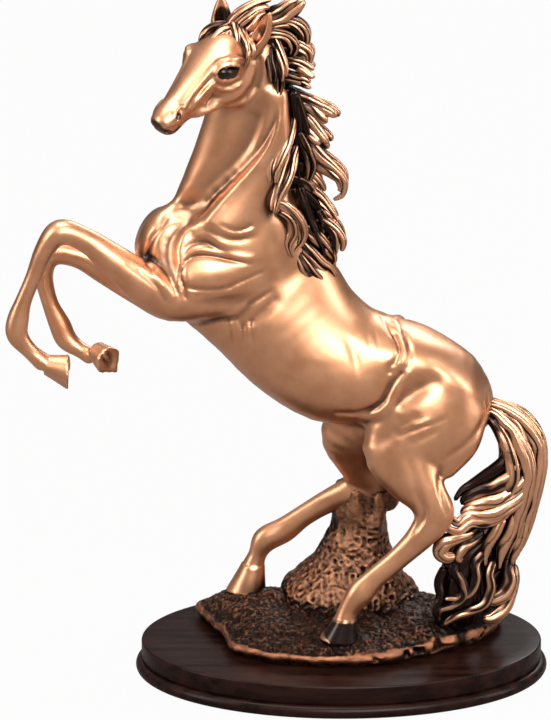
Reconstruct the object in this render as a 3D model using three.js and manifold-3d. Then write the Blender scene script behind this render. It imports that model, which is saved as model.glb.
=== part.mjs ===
// Rearing horse statue in cast bronze on a stained oval wooden plinth.
// The horse faces -X, its left side is towards -Y, and +Z is up. All sizes are in millimetres.
// The origin is the centre of the felt on the underside, on the surface that the statue stands on.
// The bronze is cast in sections. Each section is a solid of its own, fitted to its neighbour over a
// thin brazing gap and located by a steel pin. The trunk and neck are hollow, round a foundry core.
import * as THREE from "three";
import { mergeVertices } from "three/addons/utils/BufferGeometryUtils.js";
import Module from "manifold-3d";

const wasm = await Module();
wasm.setup();

// Driving sizes
const gap = 0.3; // brazing or seating gap between neighbours
const plinth = { halfLength: 108, halfWidth: 73, height: 17.5, stepHeight: 7, stepWidth: 3, cove: 1.5, edgeRound: 1 };
const felt = { inset: 8, thickness: 1.5 };
const standing = felt.thickness + plinth.height; // height of the plinth's top, which carries the bronze

const limbPin = { radius: 2, length: 18 };
const tailPin = { radius: 2, length: 14 };
const spinePin = { radius: 2.5, length: 24 };
const hoofStud = { radius: 1.6, length: 16 };
const collar = { radius: 15, wall: 2.5, length: 22 }; // sleeve inside the hollow neck joint
const screw = {
  radius: 2, length: 17, pointLength: 1, pointRadius: 1.2,
  headRadius: 3.8, headHeight: 2.8, faceRadius: 3.04, edgeHeight: 1.68, slotWidth: 1, slotDepth: 1.2,
};
const washer = { radius: 5.5, thickness: 1 };
const counterbore = { clearance: 1, depth: 6 };
const screwPlaces = [[-46, 6], [34, -20], [40, 24]];

// From here on, heights are measured from the plinth's top.
// Stations of the castings, from root to tip: [x, y, z, half width across, half depth].
const trunk = [
  [-102, 0, 218.5, 6, 6], [-94.5, 0, 216, 16, 14], [-81, 0, 212, 24, 25.5], [-62.5, 0, 204.5, 28, 34],
  [-41.5, 0, 194, 29.5, 38.5], [-23, 0, 171, 31, 36], [-3.5, 0, 155.5, 33, 33.5], [16, 0, 150.5, 30.5, 29.5],
  [35.5, 0, 144, 28, 28.5], [54.5, 0, 135, 24, 25.5], [67, 0, 126.5, 15, 16.5], [73.5, 0, 123, 6, 6],
];
const neck = [
  [-50, 0, 220, 26, 33], [-54, 0, 236, 24, 34], [-53.5, -1, 252.5, 20, 29.5], [-51.5, -2, 267.5, 18, 26],
  [-49, -3, 282.5, 16, 23.5], [-47.5, -4, 296, 14.5, 21.5], [-43.5, -5, 310.5, 12.5, 17.5],
  [-40, -6, 322.5, 10.5, 13], [-37.5, -6, 329, 7, 8],
];
const core = [ // the hollow, from the top of the neck to the haunches
  [-47.5, -4, 294, 6, 12], [-49, -3, 282, 8, 15], [-51.5, -2, 267.5, 10, 17], [-53, -1, 252.5, 12, 19],
  [-52, 0, 239, 13, 16], [-50, 0, 227, 14, 14], [-46, 0, 211, 14, 15], [-36, 0, 189, 20, 26],
  [-20, 0, 169, 23, 27], [-2, 0, 155, 24, 25], [16, 0, 150, 22, 21], [35, 0, 144, 19, 18], [52, 0, 137, 12, 12],
];
const legs = {
  foreleg_left: [
    [-71, -18, 203.5, 12, 18.5], [-87, -22, 200, 13, 16.5], [-102, -25, 206.5, 11.5, 11.5],
    [-119, -27, 220.5, 9.5, 8.5], [-132, -28, 231, 7.5, 7], [-145.5, -29, 236, 8, 7.5],
    [-153.5, -29, 226, 6.5, 5.5], [-159, -29, 212, 5, 5], [-164.5, -29, 198.5, 4.5, 5],
    [-167, -29, 188, 5.5, 7], [-169.5, -29, 178.5, 6.5, 7], [-161.5, -28, 169.5, 5.5, 5],
    [-153.5, -28, 162, 6.5, 5], [-142, -28, 158.5, 8.5, 9],
  ],
  foreleg_right: [
    [-74, 18, 190.5, 12, 17.5], [-88.5, 21, 183, 13, 15.5], [-105, 24, 188.5, 11.5, 11],
    [-123, 25, 197, 9.5, 9], [-137.5, 25, 204, 7.5, 7], [-154, 24, 206, 8, 8],
    [-155.5, 23, 195.5, 6.5, 5.5], [-154, 22, 186, 5, 5.5], [-151.5, 21, 177.5, 4.5, 6],
    [-147, 20, 167.5, 5.5, 7.5], [-143.5, 19, 159, 6.5, 7], [-136, 17, 154.5, 5.5, 4.5],
    [-127.5, 15, 151.5, 6.5, 5], [-119, 11, 151, 8.5, 8],
  ],
  hind_leg_left: [
    [52, -12, 146, 20, 22], [43, -17, 129.5, 20, 30], [31.5, -22, 113.5, 15, 22], [36, -26, 100, 12, 15.5],
    [44, -28, 90, 10, 12], [48, -29, 80.5, 9, 12], [42.5, -30, 70.5, 8, 9], [30.5, -31, 58, 6, 7],
    [15.5, -32, 44.5, 5.5, 7], [9.5, -32, 37.5, 7, 8], [3.5, -32, 29, 6, 5.5], [1.5, -32, 21.5, 7.5, 7],
    [0.5, -32, 12, 9.5, 9.5],
  ],
  hind_leg_right: [
    [40.5, 12, 137, 20, 24], [22.5, 16, 124.5, 19, 25], [7.5, 20, 108, 14, 19], [10, 25, 91.5, 11, 13.5],
    [16.5, 27, 77, 9, 10.5], [4, 27, 71.5, 8, 8.5], [-8, 28, 65.5, 6, 7.5], [-20.5, 28, 57.5, 5.5, 6.5],
    [-30, 28, 50, 6, 7.5], [-40, 28, 44.5, 7, 7], [-44, 28, 36.5, 6, 5], [-47, 28, 29.5, 7.5, 7.5],
    [-48, 28, 15.5, 10, 10],
  ],
};
const stump = [
  [10, 31, 69, 12, 15], [9, 31, 50, 14, 16], [7.5, 31, 38, 16, 19], [6, 31, 25, 21, 26], [6, 31, 14, 24, 30],
];

// The head has a frame of its own: along runs from the poll to the lips, and rise is square to the face.
const head = { poll: [-54, -4, 332.5], yaw: 48, pitch: 24 }; // degrees from straight ahead and from level
const headStations = [ // [along, rise of the middle, half width, half height]
  [-4, -6, 6, 5], [2, -6, 9.5, 11], [10, -6, 12, 14], [20, -7.5, 13.5, 16.5], [30, -6, 12, 14],
  [42, -4.5, 9, 9.5], [54, -4.2, 7.5, 6.8], [64, -5.2, 8, 6.8], [71, -5.5, 7, 5.5], [76, -5.5, 3.5, 2.5],
];
const ears = [
  [[-46, -11, 333, 4, 4], [-43, -13, 340, 5, 4.5], [-40, -16, 347, 4, 3.5], [-38, -19, 353, 1, 1]],
  [[-61, 1, 333, 4, 4], [-62, 2, 341, 5, 4.5], [-62, 3, 348, 4.5, 3.5], [-62, 4, 355, 1, 1]],
];

// Locks of hair, from root to tip: [x, y, z, half depth]. The first lock of each piece is its root band.
const locks = {
  forelock: [
    [[-52, -5, 334, 4], [-51, -6, 340, 4], [-48, -6, 345, 3.5], [-46, -6, 350, 2.5]],
    [[-52, -6, 338, 3.5], [-52, -7, 345, 3], [-47, -6, 350, 3], [-40, -5, 352, 2], [-36, -4, 353, 1]],
    [[-50, -8, 340, 3], [-44, -8, 344, 2.5], [-38, -6, 348, 1.5]],
    [[-52, -9, 342, 3], [-56, -14, 339, 2.5], [-60, -18, 334, 2.5], [-62, -21, 328, 1]],
    [[-54, -5, 339, 3], [-60, -2, 340, 3], [-68, -5, 340, 3], [-74, -8, 339, 2.5], [-75, -12, 335, 1.5]],
    [[-52, -10, 340, 3], [-53, -19, 335, 2.5], [-52, -22, 331, 2], [-54, -24, 327, 1]],
  ],
  mane_upper: [
    [[-38, -6, 338, 4], [-29, -6, 327, 4.5], [-25, -5, 314, 4.5], [-25, -4.5, 306.5, 4]],
    [[-38, -6, 335, 3.5], [-35, -5, 345, 3], [-28, -4, 349, 2.5], [-22, -3, 353, 1]],
    [[-32, -6, 333, 3.5], [-26, -4, 337, 3.5], [-22, -2, 333, 3], [-23, -1, 326, 1.5]],
    [[-30, -6, 325, 3], [-24, -3, 325, 3.5], [-19, -1, 321, 3], [-21, 0, 316, 1.5]],
    [[-30, -6, 320, 2.5], [-24, -3, 316, 2.5], [-18, 0, 311, 2], [-14, 1, 308, 1.5]],
    [[-29, -5, 312, 2.5], [-24, -2, 309, 2], [-17, 0, 305, 1.5]],
  ],
  mane_middle: [
    [[-25, -4, 305, 4], [-24, -3.5, 289, 4.5], [-24, -3, 273, 4.5], [-24, -3, 265, 4]],
    [[-27, -4, 302, 3], [-19, -1, 299, 3], [-10, 1, 293, 3], [-4, 2, 289, 2]],
    [[-27, -4, 296, 3], [-20, -1, 289, 3.5], [-13, 0, 280, 3], [-8, 1, 273, 1.5]],
    [[-26, -4, 287, 3], [-19, -1, 277, 3.5], [-12, 1, 269, 3], [-6, 2, 263, 2.5], [-3, 2, 253, 1.5]],
    [[-26, -5, 270, 3], [-20, -2, 260, 3.5], [-14, -1, 255, 2.5], [-11, 0, 251, 1.5]],
    [[-25, -6, 290, 4], [-29, -18, 284, 3], [-32, -21, 275, 3], [-36, -22, 263, 1.5]],
    [[-25, 0, 292, 4], [-28, 11, 284, 3], [-31, 15, 275, 3], [-34, 17, 265, 1.5]],
  ],
  mane_lower: [
    [[-24, -3, 263, 4], [-22, -2, 249, 5], [-17, -1, 233, 5.5], [-8, -1, 217, 4.5], [-4, -1, 207, 3]],
    [[-26, -5, 261, 3], [-22, -2, 253, 3.5], [-17, 0, 247, 3], [-14, 1, 242, 1.5]],
    [[-25, -5, 251, 4], [-19, -1, 243, 4], [-12, 1, 237, 3], [-4, 2, 231, 1]],
    [[-24, -6, 243, 4.5], [-16, -2, 233, 5], [-9, 0, 225, 4.5], [-4, 1, 217, 2]],
    [[-16, -6, 223, 4], [-10, -6, 215, 3], [-6, -3, 207, 2], [-4, -2, 198, 1]],
    [[-22, -4, 251, 5], [-27, -20, 247, 3], [-29, -23, 241, 3], [-26, -24, 234, 2], [-25, -24, 228, 1.5]],
    [[-22, 2, 251, 5], [-26, 15, 246, 3], [-28, 20, 239, 3], [-26, 22, 230, 1.5]],
  ],
};
const lockFlatness = 0.65; // half width of a lock as a share of its half depth
const tail = [ // the dock and main fall, the branch at the hock, the low mass, and the web between them
  [
    [70, 0, 131, 5.5], [81.5, -1, 128, 6.5], [89, -2, 122.5, 8.25], [94, -3, 112, 12], [93.5, -4, 100.5, 14],
    [89.5, -5, 88, 15.5], [86.5, -4, 74, 13.5], [85.5, 0, 58.5, 11.5], [83.5, 5, 44, 10], [82, 9, 30.5, 8],
    [79, 12, 8, 8],
  ],
  [[92, -5, 94, 8], [80, -10, 89, 7], [69, -16, 87, 6], [65, -19, 83, 4]],
  [[78, -8, 72, 7.5], [68, -11, 62, 10], [63, -12, 44, 13], [62, -12, 31, 15], [62, -12, 9, 14]],
  [[83, 4, 38, 9], [66, -10, 34, 9]],
];
const tailFlatness = 0.85;

// Ground: the rim's outline, anticlockwise from the right end, and the mounds on its top.
const groundRim = [
  [84, 14], [84, 30], [70, 42], [40, 46], [0, 45], [-35, 43], [-60, 44], [-76, 35], [-71, 12], [-62, -6],
  [-59, -24], [-44, -36], [-24, -43], [-1, -46], [20, -42], [41, -31], [59, -21], [77, -5],
];
const ground = {
  middle: [5, 2], rimHeight: 4, crown: 6, undercut: 0.93, bossRadius: 8,
  crownPower: 2.5, moundPower: 6, // how late, on the way out to the rim, the crown and the mounds fall away
};
const groundHollow = { halfLength: 48, halfWidth: 28, depth: 4 };
const mounds = [ // [x, y, height, radius]
  [-48, 28, 8, 22], [6, 31, 6, 30], [62, -8, 5, 28], [0, -32, 5, 14], [80, 14, 5, 16],
];

// Partings between castings: a point of the joint, and the direction in which the smaller casting lies.
const partings = {
  neck: { point: [-50, 0, 227], toward: [0.348, 0, 0.9375] },
  head: { point: [-47, -5, 311], toward: [-0.62, -0.4, 0.67] },
  foreleg_left: { point: [-98, -24, 204], toward: [-0.9, -0.4, 0] },
  foreleg_right: { point: [-100, 23.5, 186], toward: [-0.9, 0.4, 0] },
  hind_leg_left: { point: [36, -26, 99], toward: [0, 0, -1] },
  hind_leg_right: { point: [9.5, 24, 99], toward: [0, 0, -1] },
  tail_dock: { point: [76, -0.5, 129.5], toward: [0.95, 0, -0.3] },
  tail_fall: { point: [94, -3, 109], toward: [0, 0, -1] },
  tail_tip: { point: [85.5, 0, 61], toward: [0, 0, -1] },
};

const finishes = {
  bronze: new THREE.MeshStandardMaterial({ color: 0xb9825c, metalness: 1, roughness: 0.35 }),
  darkBronze: new THREE.MeshStandardMaterial({ color: 0x3f2a1e, metalness: 1, roughness: 0.45 }),
  wood: new THREE.MeshStandardMaterial({ color: 0x2f1714, metalness: 0, roughness: 0.4 }),
  steel: new THREE.MeshStandardMaterial({ color: 0x9a9da0, metalness: 1, roughness: 0.3 }),
  felt: new THREE.MeshStandardMaterial({ color: 0x1d1c1b, metalness: 0, roughness: 0.95 }),
};

// A closed geometry as a solid that can be cut and joined.
function solidOf(geometry) {
  const bare = geometry.clone();
  bare.deleteAttribute("normal");
  bare.deleteAttribute("uv");
  const merged = mergeVertices(bare, 1e-3);
  return new wasm.Manifold(new wasm.Mesh({
    numProp: 3,
    vertProperties: merged.attributes.position.array,
    triVerts: new Uint32Array(merged.index.array),
  }));
}

function geometryOf(solid) {
  const mesh = solid.getMesh();
  return new THREE.BufferGeometry()
    .setAttribute("position", new THREE.BufferAttribute(mesh.vertProperties, 3))
    .setIndex(new THREE.BufferAttribute(mesh.triVerts, 1));
}

const join = (solids) => solids.reduce((whole, solid) => whole.add(solid));
const cut = (solid, tools) => tools.reduce((rest, tool) => rest.subtract(tool), solid);

// The main body of a casting, without the chips that a cut leaves beside it.
const fettled = (solid) => solid.decompose().sort((a, b) => b.volume() - a.volume())[0];

// A closed tube through the stations, oval in section, its width kept towards Y. It can be made larger
// all round by a clearance, for cutting what fits to it.
function loft(stations, { around = 12, perStation = 1, grow = 0 } = {}) {
  const middle = new THREE.CatmullRomCurve3(
    stations.map(([x, y, z]) => new THREE.Vector3(x, y, z)), false, "catmullrom");
  const sizes = new THREE.CatmullRomCurve3(
    stations.map((station) => new THREE.Vector3(station[3], station[4], 0)), false, "catmullrom");
  const steps = (stations.length - 1) * perStation;
  const geometry = new THREE.CylinderGeometry(1, 1, 1, around, steps);
  const places = geometry.attributes.position;
  for (let i = 0; i < places.count; i++) {
    const share = THREE.MathUtils.clamp(0.5 - places.getY(i), 0, 1);
    const along = middle.getTangent(share);
    const across = new THREE.Vector3(0, 1, 0).addScaledVector(along, -along.y).normalize();
    const deep = new THREE.Vector3().crossVectors(along, across);
    const size = sizes.getPoint(share);
    const end = share < 1e-6 ? -grow : share > 1 - 1e-6 ? grow : 0;
    const point = middle.getPoint(share)
      .addScaledVector(along, end)
      .addScaledVector(across, places.getX(i) * (size.x + grow))
      .addScaledVector(deep, places.getZ(i) * (size.y + grow));
    places.setXYZ(i, point.x, point.y, point.z);
  }
  return solidOf(geometry);
}

function hair(strands, flatness, grow = 0, around = 6) {
  return join(strands.map((points) =>
    loft(points.map(([x, y, z, r]) => [x, y, z, r * flatness, r]), { around, grow })));
}

// Puts a geometry made along +Z at a point, with +Z turned to a direction.
function placed(geometry, point, direction = [0, 0, 1]) {
  const turn = new THREE.Quaternion().setFromUnitVectors(
    new THREE.Vector3(0, 0, 1), new THREE.Vector3(...direction).normalize());
  return solidOf(geometry.clone().applyQuaternion(turn).translate(...point));
}

function cylinder(radius, length, around = 16) {
  return new THREE.CylinderGeometry(radius, radius, length, around).rotateX(Math.PI / 2);
}

// All space on the toward side of a parting, or on the other side, short of it by half the gap.
function half({ point, toward }, side) {
  const span = 900;
  const box = new THREE.BoxGeometry(span, span, span).translate(0, 0, (span + gap) / 2);
  return placed(box, point, toward.map((value) => value * side));
}

const beyond = (parting) => half(parting, 1);
const before = (parting) => half(parting, -1);

// An oval solid from a profile of [distance in from the oval's edge, height] points, lowest first.
function oval(profile, { halfLength, halfWidth }, around = 48) {
  const outline = [
    new THREE.Vector2(0, profile[0][1]),
    ...profile.map(([inset, z]) => new THREE.Vector2(halfLength - inset, z)),
    new THREE.Vector2(0, profile.at(-1)[1]),
  ];
  const geometry = new THREE.LatheGeometry(outline, around).rotateX(Math.PI / 2);
  const places = geometry.attributes.position;
  for (let i = 0; i < places.count; i++) {
    const radius = Math.hypot(places.getX(i), places.getY(i));
    const narrowing = radius > 0 ? (radius - halfLength + halfWidth) / radius : 0;
    places.setY(i, places.getY(i) * narrowing);
  }
  return solidOf(geometry);
}

function plinthBoard() {
  const { height, stepHeight, stepWidth, cove, edgeRound } = plinth;
  const nose = stepHeight / 2;
  const turns = 4;
  const profile = [];
  for (let i = 0; i <= turns; i++) {
    const angle = (i / turns - 0.5) * Math.PI;
    profile.push([nose * (1 - Math.cos(angle)), nose * (1 + Math.sin(angle)) - height]);
  }
  profile.push([stepWidth + nose, stepHeight - height], [stepWidth, stepHeight + cove - height],
    [stepWidth, -edgeRound], [stepWidth + edgeRound, 0]);
  const shank = cylinder(screw.radius + gap, 4 * height);
  const recess = cylinder(washer.radius + counterbore.clearance, 2 * counterbore.depth);
  return cut(oval(profile, plinth), screwPlaces.flatMap(([x, y]) =>
    [placed(shank, [x, y, 0]), placed(recess, [x, y, -height])]));
}

function feltPad() {
  const size = { halfLength: plinth.halfLength - felt.inset, halfWidth: plinth.halfWidth - felt.inset };
  const bottom = -plinth.height - felt.thickness;
  const around = cylinder(washer.radius + counterbore.clearance, 4 * felt.thickness);
  return cut(oval([[0, bottom], [0, -plinth.height]], size),
    screwPlaces.map(([x, y]) => placed(around, [x, y, -plinth.height])));
}

// Height of the ground's top at a place, which is a share of the way out to its rim.
function groundTop(x, y, share) {
  const mound = mounds.reduce((sum, [mx, my, height, radius]) =>
    sum + height * Math.exp(-((x - mx) ** 2 + (y - my) ** 2) / radius ** 2), 0);
  return ground.rimHeight + ground.crown * (1 - share ** ground.crownPower)
    + mound * (1 - share ** ground.moundPower);
}

function groundBlock() {
  const rim = new THREE.CatmullRomCurve3(groundRim.map(([x, y]) => new THREE.Vector3(x, y, 0)), true, "catmullrom");
  const middle = new THREE.Vector3(...ground.middle, 0);
  const rings = 9;
  const around = 36;
  const rimRing = rings - 2; // the rings after it are the underside's edge and its middle
  const geometry = new THREE.SphereGeometry(1, around, rings);
  const places = geometry.attributes.position;
  for (let i = 0; i < places.count; i++) {
    const ring = Math.floor(i / (around + 1));
    const edge = rim.getPoint(((i % (around + 1)) % around) / around);
    const onTop = ring <= rimRing;
    const share = onTop ? ring / rimRing : ring === rings ? 0 : ground.undercut;
    const point = middle.clone().lerp(edge, share);
    places.setXYZ(i, point.x, point.y, onTop ? groundTop(point.x, point.y, share) : 0);
  }
  return solidOf(geometry);
}

// The hollow under the ground, left solid round each screw.
function groundRecess() {
  const { halfLength, halfWidth, depth } = groundHollow;
  const flat = cylinder(1, 2 * depth, 32).scale(halfLength, halfWidth, 1);
  const boss = cylinder(ground.bossRadius, 4 * depth);
  return cut(placed(flat, [...ground.middle, 0]), screwPlaces.map(([x, y]) => placed(boss, [x, y, 0])));
}

// The head's tube is made in its own frame, with its width along Y, and then turned onto the neck.
function headBlock(grow = 0) {
  const yaw = THREE.MathUtils.degToRad(head.yaw);
  const pitch = THREE.MathUtils.degToRad(head.pitch);
  const forward = new THREE.Vector3(-Math.cos(pitch) * Math.cos(yaw), -Math.cos(pitch) * Math.sin(yaw), -Math.sin(pitch));
  const left = new THREE.Vector3(Math.sin(yaw), -Math.cos(yaw), 0);
  const up = new THREE.Vector3().crossVectors(forward, left);
  const frame = new THREE.Matrix4()
    .makeBasis(forward.clone().negate(), left.clone().negate(), up)
    .setPosition(...head.poll);
  const own = headStations.map(([along, rise, halfWidth, halfHeight]) => [-along, 0, rise, halfWidth, halfHeight]);
  const tube = solidOf(geometryOf(loft(own, { around: 16, grow })).applyMatrix4(frame));
  return join([tube, ...ears.map((stations) => loft(stations, { around: 8, grow }))]);
}

function screwSolid() {
  const { radius, length, pointLength, pointRadius, headRadius, headHeight, faceRadius, edgeHeight } = screw;
  const profile = [[0, -headHeight], [faceRadius, -headHeight], [headRadius, -edgeHeight], [headRadius, 0],
    [radius, 0], [radius, length - pointLength], [pointRadius, length], [0, length]];
  const points = profile.map(([r, z]) => new THREE.Vector2(r, z));
  const slot = new THREE.BoxGeometry(3 * headRadius, screw.slotWidth, 2 * screw.slotDepth).translate(0, 0, -headHeight);
  return cut(solidOf(new THREE.LatheGeometry(points, 16).rotateX(Math.PI / 2)), [solidOf(slot)]);
}

function ring(outer, inner, length, around = 16) {
  return cut(solidOf(cylinder(outer, length, around)), [solidOf(cylinder(inner, 2 * length, around))]);
}

const bronze = new THREE.Group();
bronze.position.z = standing;

function add(name, solid, finish, place = [0, 0, 0], direction = [0, 0, 1]) {
  const mesh = new THREE.Mesh(geometryOf(solid), finishes[finish]);
  mesh.name = name;
  mesh.position.set(...place);
  mesh.quaternion.setFromUnitVectors(new THREE.Vector3(0, 0, 1), new THREE.Vector3(...direction).normalize());
  bronze.add(mesh);
}

// Pins and studs, each across a joint, and a bore round each
const foot = (name) => ({ point: legs[name].at(-1).slice(0, 3), toward: [0, 0, 1] });
const pins = {
  head_pin: [partings.head, spinePin],
  foreleg_pin_left: [partings.foreleg_left, limbPin],
  foreleg_pin_right: [partings.foreleg_right, limbPin],
  hind_leg_pin_left: [partings.hind_leg_left, limbPin],
  hind_leg_pin_right: [partings.hind_leg_right, limbPin],
  hoof_stud_left: [foot("hind_leg_left"), hoofStud],
  hoof_stud_right: [foot("hind_leg_right"), hoofStud],
  stump_pin: [{ point: stump.at(-1).slice(0, 3), toward: [0, 0, 1] }, spinePin],
  tail_pin: [partings.tail_dock, tailPin],
};
const bores = join(Object.values(pins).map(([{ point, toward }, size]) =>
  placed(cylinder(size.radius + gap, size.length + 2 * gap, 12), point, toward)));
const collarBore = placed(cylinder(collar.radius, collar.length + 2 * gap, 24), partings.neck.point, partings.neck.toward);
const hollow = join([loft(core), collarBore]);

// Horse
const trunkShape = (grow = 0) => loft(trunk, { around: 20, perStation: 2, grow });
const neckShape = (grow = 0) => loft(neck, { around: 16, perStation: 2, grow });
const trunkBlock = join([trunkShape(), neckShape()]);
const legNames = Object.keys(legs);
const thighs = legNames.map((name) => loft(legs[name]).intersect(before(partings[name])));
const lowerLegs = Object.fromEntries(legNames.map((name) => [name, loft(legs[name]).intersect(beyond(partings[name]))]));
const legRoom = legNames.map((name) => loft(legs[name], { grow: gap }).intersect(beyond(partings[name])));
const tailShape = (grow = 0) => hair(tail, tailFlatness, grow, 10);
const dockRoom = tailShape(gap).intersect(beyond(partings.tail_dock));

const torso = cut(join([trunkBlock, ...thighs, tailShape().intersect(before(partings.tail_dock))])
  .intersect(before(partings.neck)), [...legRoom, dockRoom, hollow, bores]);
const neckCasting = cut(trunkBlock.intersect(beyond(partings.neck)).intersect(before(partings.head)), [hollow, bores]);
const headCasting = cut(join([headBlock(), neckShape()]).intersect(beyond(partings.head)), [bores]);
add("torso", fettled(torso), "bronze");
add("neck", fettled(neckCasting), "bronze");
add("head", fettled(headCasting), "bronze");
for (const name of legNames) add(name, fettled(cut(lowerLegs[name], [bores])), "bronze");
for (const [name, [{ point, toward }, size]] of Object.entries(pins)) {
  add(name, solidOf(cylinder(size.radius, size.length, 12)), "steel", point, toward);
}
add("neck_collar", ring(collar.radius - gap, collar.radius - gap - collar.wall, collar.length, 24), "steel",
  partings.neck.point, partings.neck.toward);

// Mane and forelock: each piece is fitted over the neck and head, and over the pieces before it.
const horseRoom = [headBlock(gap), neckShape(gap), trunkShape(gap)];
for (const [name, strands] of Object.entries(locks)) {
  add(name, fettled(cut(hair(strands, lockFlatness), horseRoom)), "darkBronze");
  horseRoom.push(hair(strands, lockFlatness, gap));
}

// Tail
const hindRoom = [...horseRoom, ...legNames.map((name) => loft(legs[name], { grow: gap }))];
const tailHair = tailShape();
const tailParts = {
  tail_dock: tailHair.intersect(beyond(partings.tail_dock)).intersect(before(partings.tail_fall)),
  tail_fall: tailHair.intersect(beyond(partings.tail_fall)).intersect(before(partings.tail_tip)),
  tail_tip: tailHair.intersect(beyond(partings.tail_tip)),
};
for (const [name, solid] of Object.entries(tailParts)) {
  add(name, fettled(cut(solid, [...hindRoom, bores])), "darkBronze");
}

// Ground, stump, plinth and fastenings
const hoofRoom = ["hind_leg_left", "hind_leg_right"].map((name) => loft(legs[name], { grow: gap }));
const stumpBlock = cut(loft(stump), [loft(legs.hind_leg_right, { grow: gap }), bores]);
const screwTip = -plinth.height + counterbore.depth - washer.thickness + screw.length;
const tapped = screwPlaces.map(([x, y]) => placed(cylinder(screw.radius + gap, 2 * (screwTip + gap)), [x, y, 0]));
const rock = cut(groundBlock(), [groundRecess(), ...hoofRoom, loft(stump, { grow: gap }),
  tailShape(gap), ...tapped, bores]);
add("tree_stump", fettled(stumpBlock), "darkBronze");
add("rock_ground", fettled(rock), "darkBronze", [0, 0, gap]);
add("oval_plinth", plinthBoard(), "wood");
add("felt_base", feltPad(), "felt");
screwPlaces.forEach(([x, y], i) => {
  const seat = counterbore.depth - plinth.height;
  add(`plinth_washer_${i + 1}`, ring(washer.radius, screw.radius + gap, washer.thickness), "steel",
    [x, y, seat - washer.thickness / 2]);
  add(`plinth_screw_${i + 1}`, screwSolid(), "steel", [x, y, seat - washer.thickness]);
});

const statue = new THREE.Group();
statue.add(bronze);
export default statue;
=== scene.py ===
"""Looks of the rearing horse statue: chased bronze sections, hair, rock and a stained wooden plinth.

Lengths inside the sculpting classes are millimetres, with heights measured from the plinth's top.
Finished meshes are metres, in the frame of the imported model.
"""

from __future__ import annotations

import logging
import math
from dataclasses import dataclass, field, replace
from enum import Enum
from typing import Callable, Iterable, Sequence

import bmesh
import bpy
import numpy as np
import openvdb
from bmesh.types import BMEdge, BMesh, BMVert
from bpy.types import Material, Mesh, Node, NodeSocket, NodeTree, Object
from mathutils import Matrix, Vector


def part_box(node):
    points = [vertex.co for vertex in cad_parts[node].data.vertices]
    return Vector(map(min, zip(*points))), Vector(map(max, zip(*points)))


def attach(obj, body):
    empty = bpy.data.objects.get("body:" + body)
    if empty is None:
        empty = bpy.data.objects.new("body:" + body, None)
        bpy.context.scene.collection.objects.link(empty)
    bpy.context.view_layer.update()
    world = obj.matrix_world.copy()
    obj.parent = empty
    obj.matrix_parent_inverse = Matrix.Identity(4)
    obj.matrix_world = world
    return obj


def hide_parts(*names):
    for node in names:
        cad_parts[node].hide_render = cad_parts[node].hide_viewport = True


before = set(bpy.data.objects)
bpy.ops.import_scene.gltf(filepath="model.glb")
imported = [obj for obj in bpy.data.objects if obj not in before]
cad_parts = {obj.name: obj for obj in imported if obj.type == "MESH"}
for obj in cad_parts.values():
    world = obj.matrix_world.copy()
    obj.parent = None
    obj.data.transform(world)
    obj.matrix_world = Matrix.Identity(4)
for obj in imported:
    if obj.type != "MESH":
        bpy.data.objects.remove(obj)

logging.basicConfig(level=logging.INFO, format="%(message)s")
log = logging.getLogger("horse_statue")

MM = 0.001
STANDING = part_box("oval_plinth")[1].z / MM  # height of the plinth's top above the table
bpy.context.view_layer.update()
BODY = "root"
FAR = 12.0  # distances in the clay are held up to this
TINY = 1e-6  # keeps divisions from zero
SAME = 1e-7  # metres within which a cut counts as through a vertex
Station = Sequence[float]
Pair = tuple[float, float]
Triple = tuple[float, float, float]
Spot = tuple[float, float, float, float, float]  # x, y, z, radius and strength of a darkened spot: patina on the horse, painted shade on the tail
Window = tuple[slice, slice, slice]


class Side(Enum):
    """Which side of the horse, as the sign of Y."""

    LEFT = -1
    RIGHT = 1


# Curves, noise and meshes


def smooth_curve(points: Sequence[Station], per_span: int) -> np.ndarray:
    """Resamples points along a Catmull-Rom curve.

    Args:
        points: rows of numbers, of which the first three are a place.
        per_span: samples in each span between two points.

    Returns:
        The rows of the smooth curve, with every number carried along it.
    """
    p = np.array(points, float)
    ends = np.vstack([2 * p[0] - p[1], p, 2 * p[-1] - p[-2]])
    rows = []
    for i in range(len(p) - 1):
        a, b, c, d = ends[i : i + 4]
        for t in np.arange(per_span) / per_span:
            square, cube = 2 * a - 5 * b + 4 * c - d, 3 * b - 3 * c + d - a
            rows.append(0.5 * (2 * b + (c - a) * t + square * t * t + cube * t**3))
    rows.append(p[-1])
    return np.array(rows)


def lattice_noise(p: np.ndarray, scale: float, seed: int) -> np.ndarray:
    """Smooth value noise from -1 to 1, with features of about the scale, at places p (..., 3)."""
    q = p / scale + 1000.0
    cell = np.floor(q).astype(np.int64)
    f = q - cell
    f = f * f * (3 - 2 * f)
    total = np.zeros(p.shape[:-1])
    for corner in range(8):
        offset = np.array([corner & 1, corner >> 1 & 1, corner >> 2 & 1])
        k = (cell + offset) @ np.array([73856093, 19349663, 83492791]) + seed * 2654435761
        k = (k ^ (k >> 13)) * 1274126177 & 0x7FFFFFFF
        weight = np.prod(np.where(offset, f, 1 - f), axis=-1)
        total += weight * ((k >> 8 & 0xFFFF) / 32767.5 - 1)
    return total


def coarser(step: float) -> float:
    return step * 1.0


def make_object(mesh: Mesh, name: str) -> Object:
    """Links a mesh into the scene under a name, at the origin."""
    mesh.name = name
    made = bpy.data.objects.new(name, mesh)
    bpy.context.scene.collection.objects.link(made)
    return made


def new_piece(bm: BMesh, name: str) -> Object:
    """Turns a finished mesh into an object of the same name, and frees it."""
    mesh = bpy.data.meshes.new(name)
    bm.to_mesh(mesh)
    bm.free()
    return make_object(mesh, name)


def read(rows: bpy.types.bpy_prop_collection, key: str, width: int = 3) -> np.ndarray:
    """One property of each vertex, face or mark of a mesh, as rows of the given width."""
    kind = np.int32 if key == "vertices" else np.float32
    found = np.empty(len(rows) * width, kind)
    rows.foreach_get(key, found)
    return found.reshape(-1, width) if width > 1 else found


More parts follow.
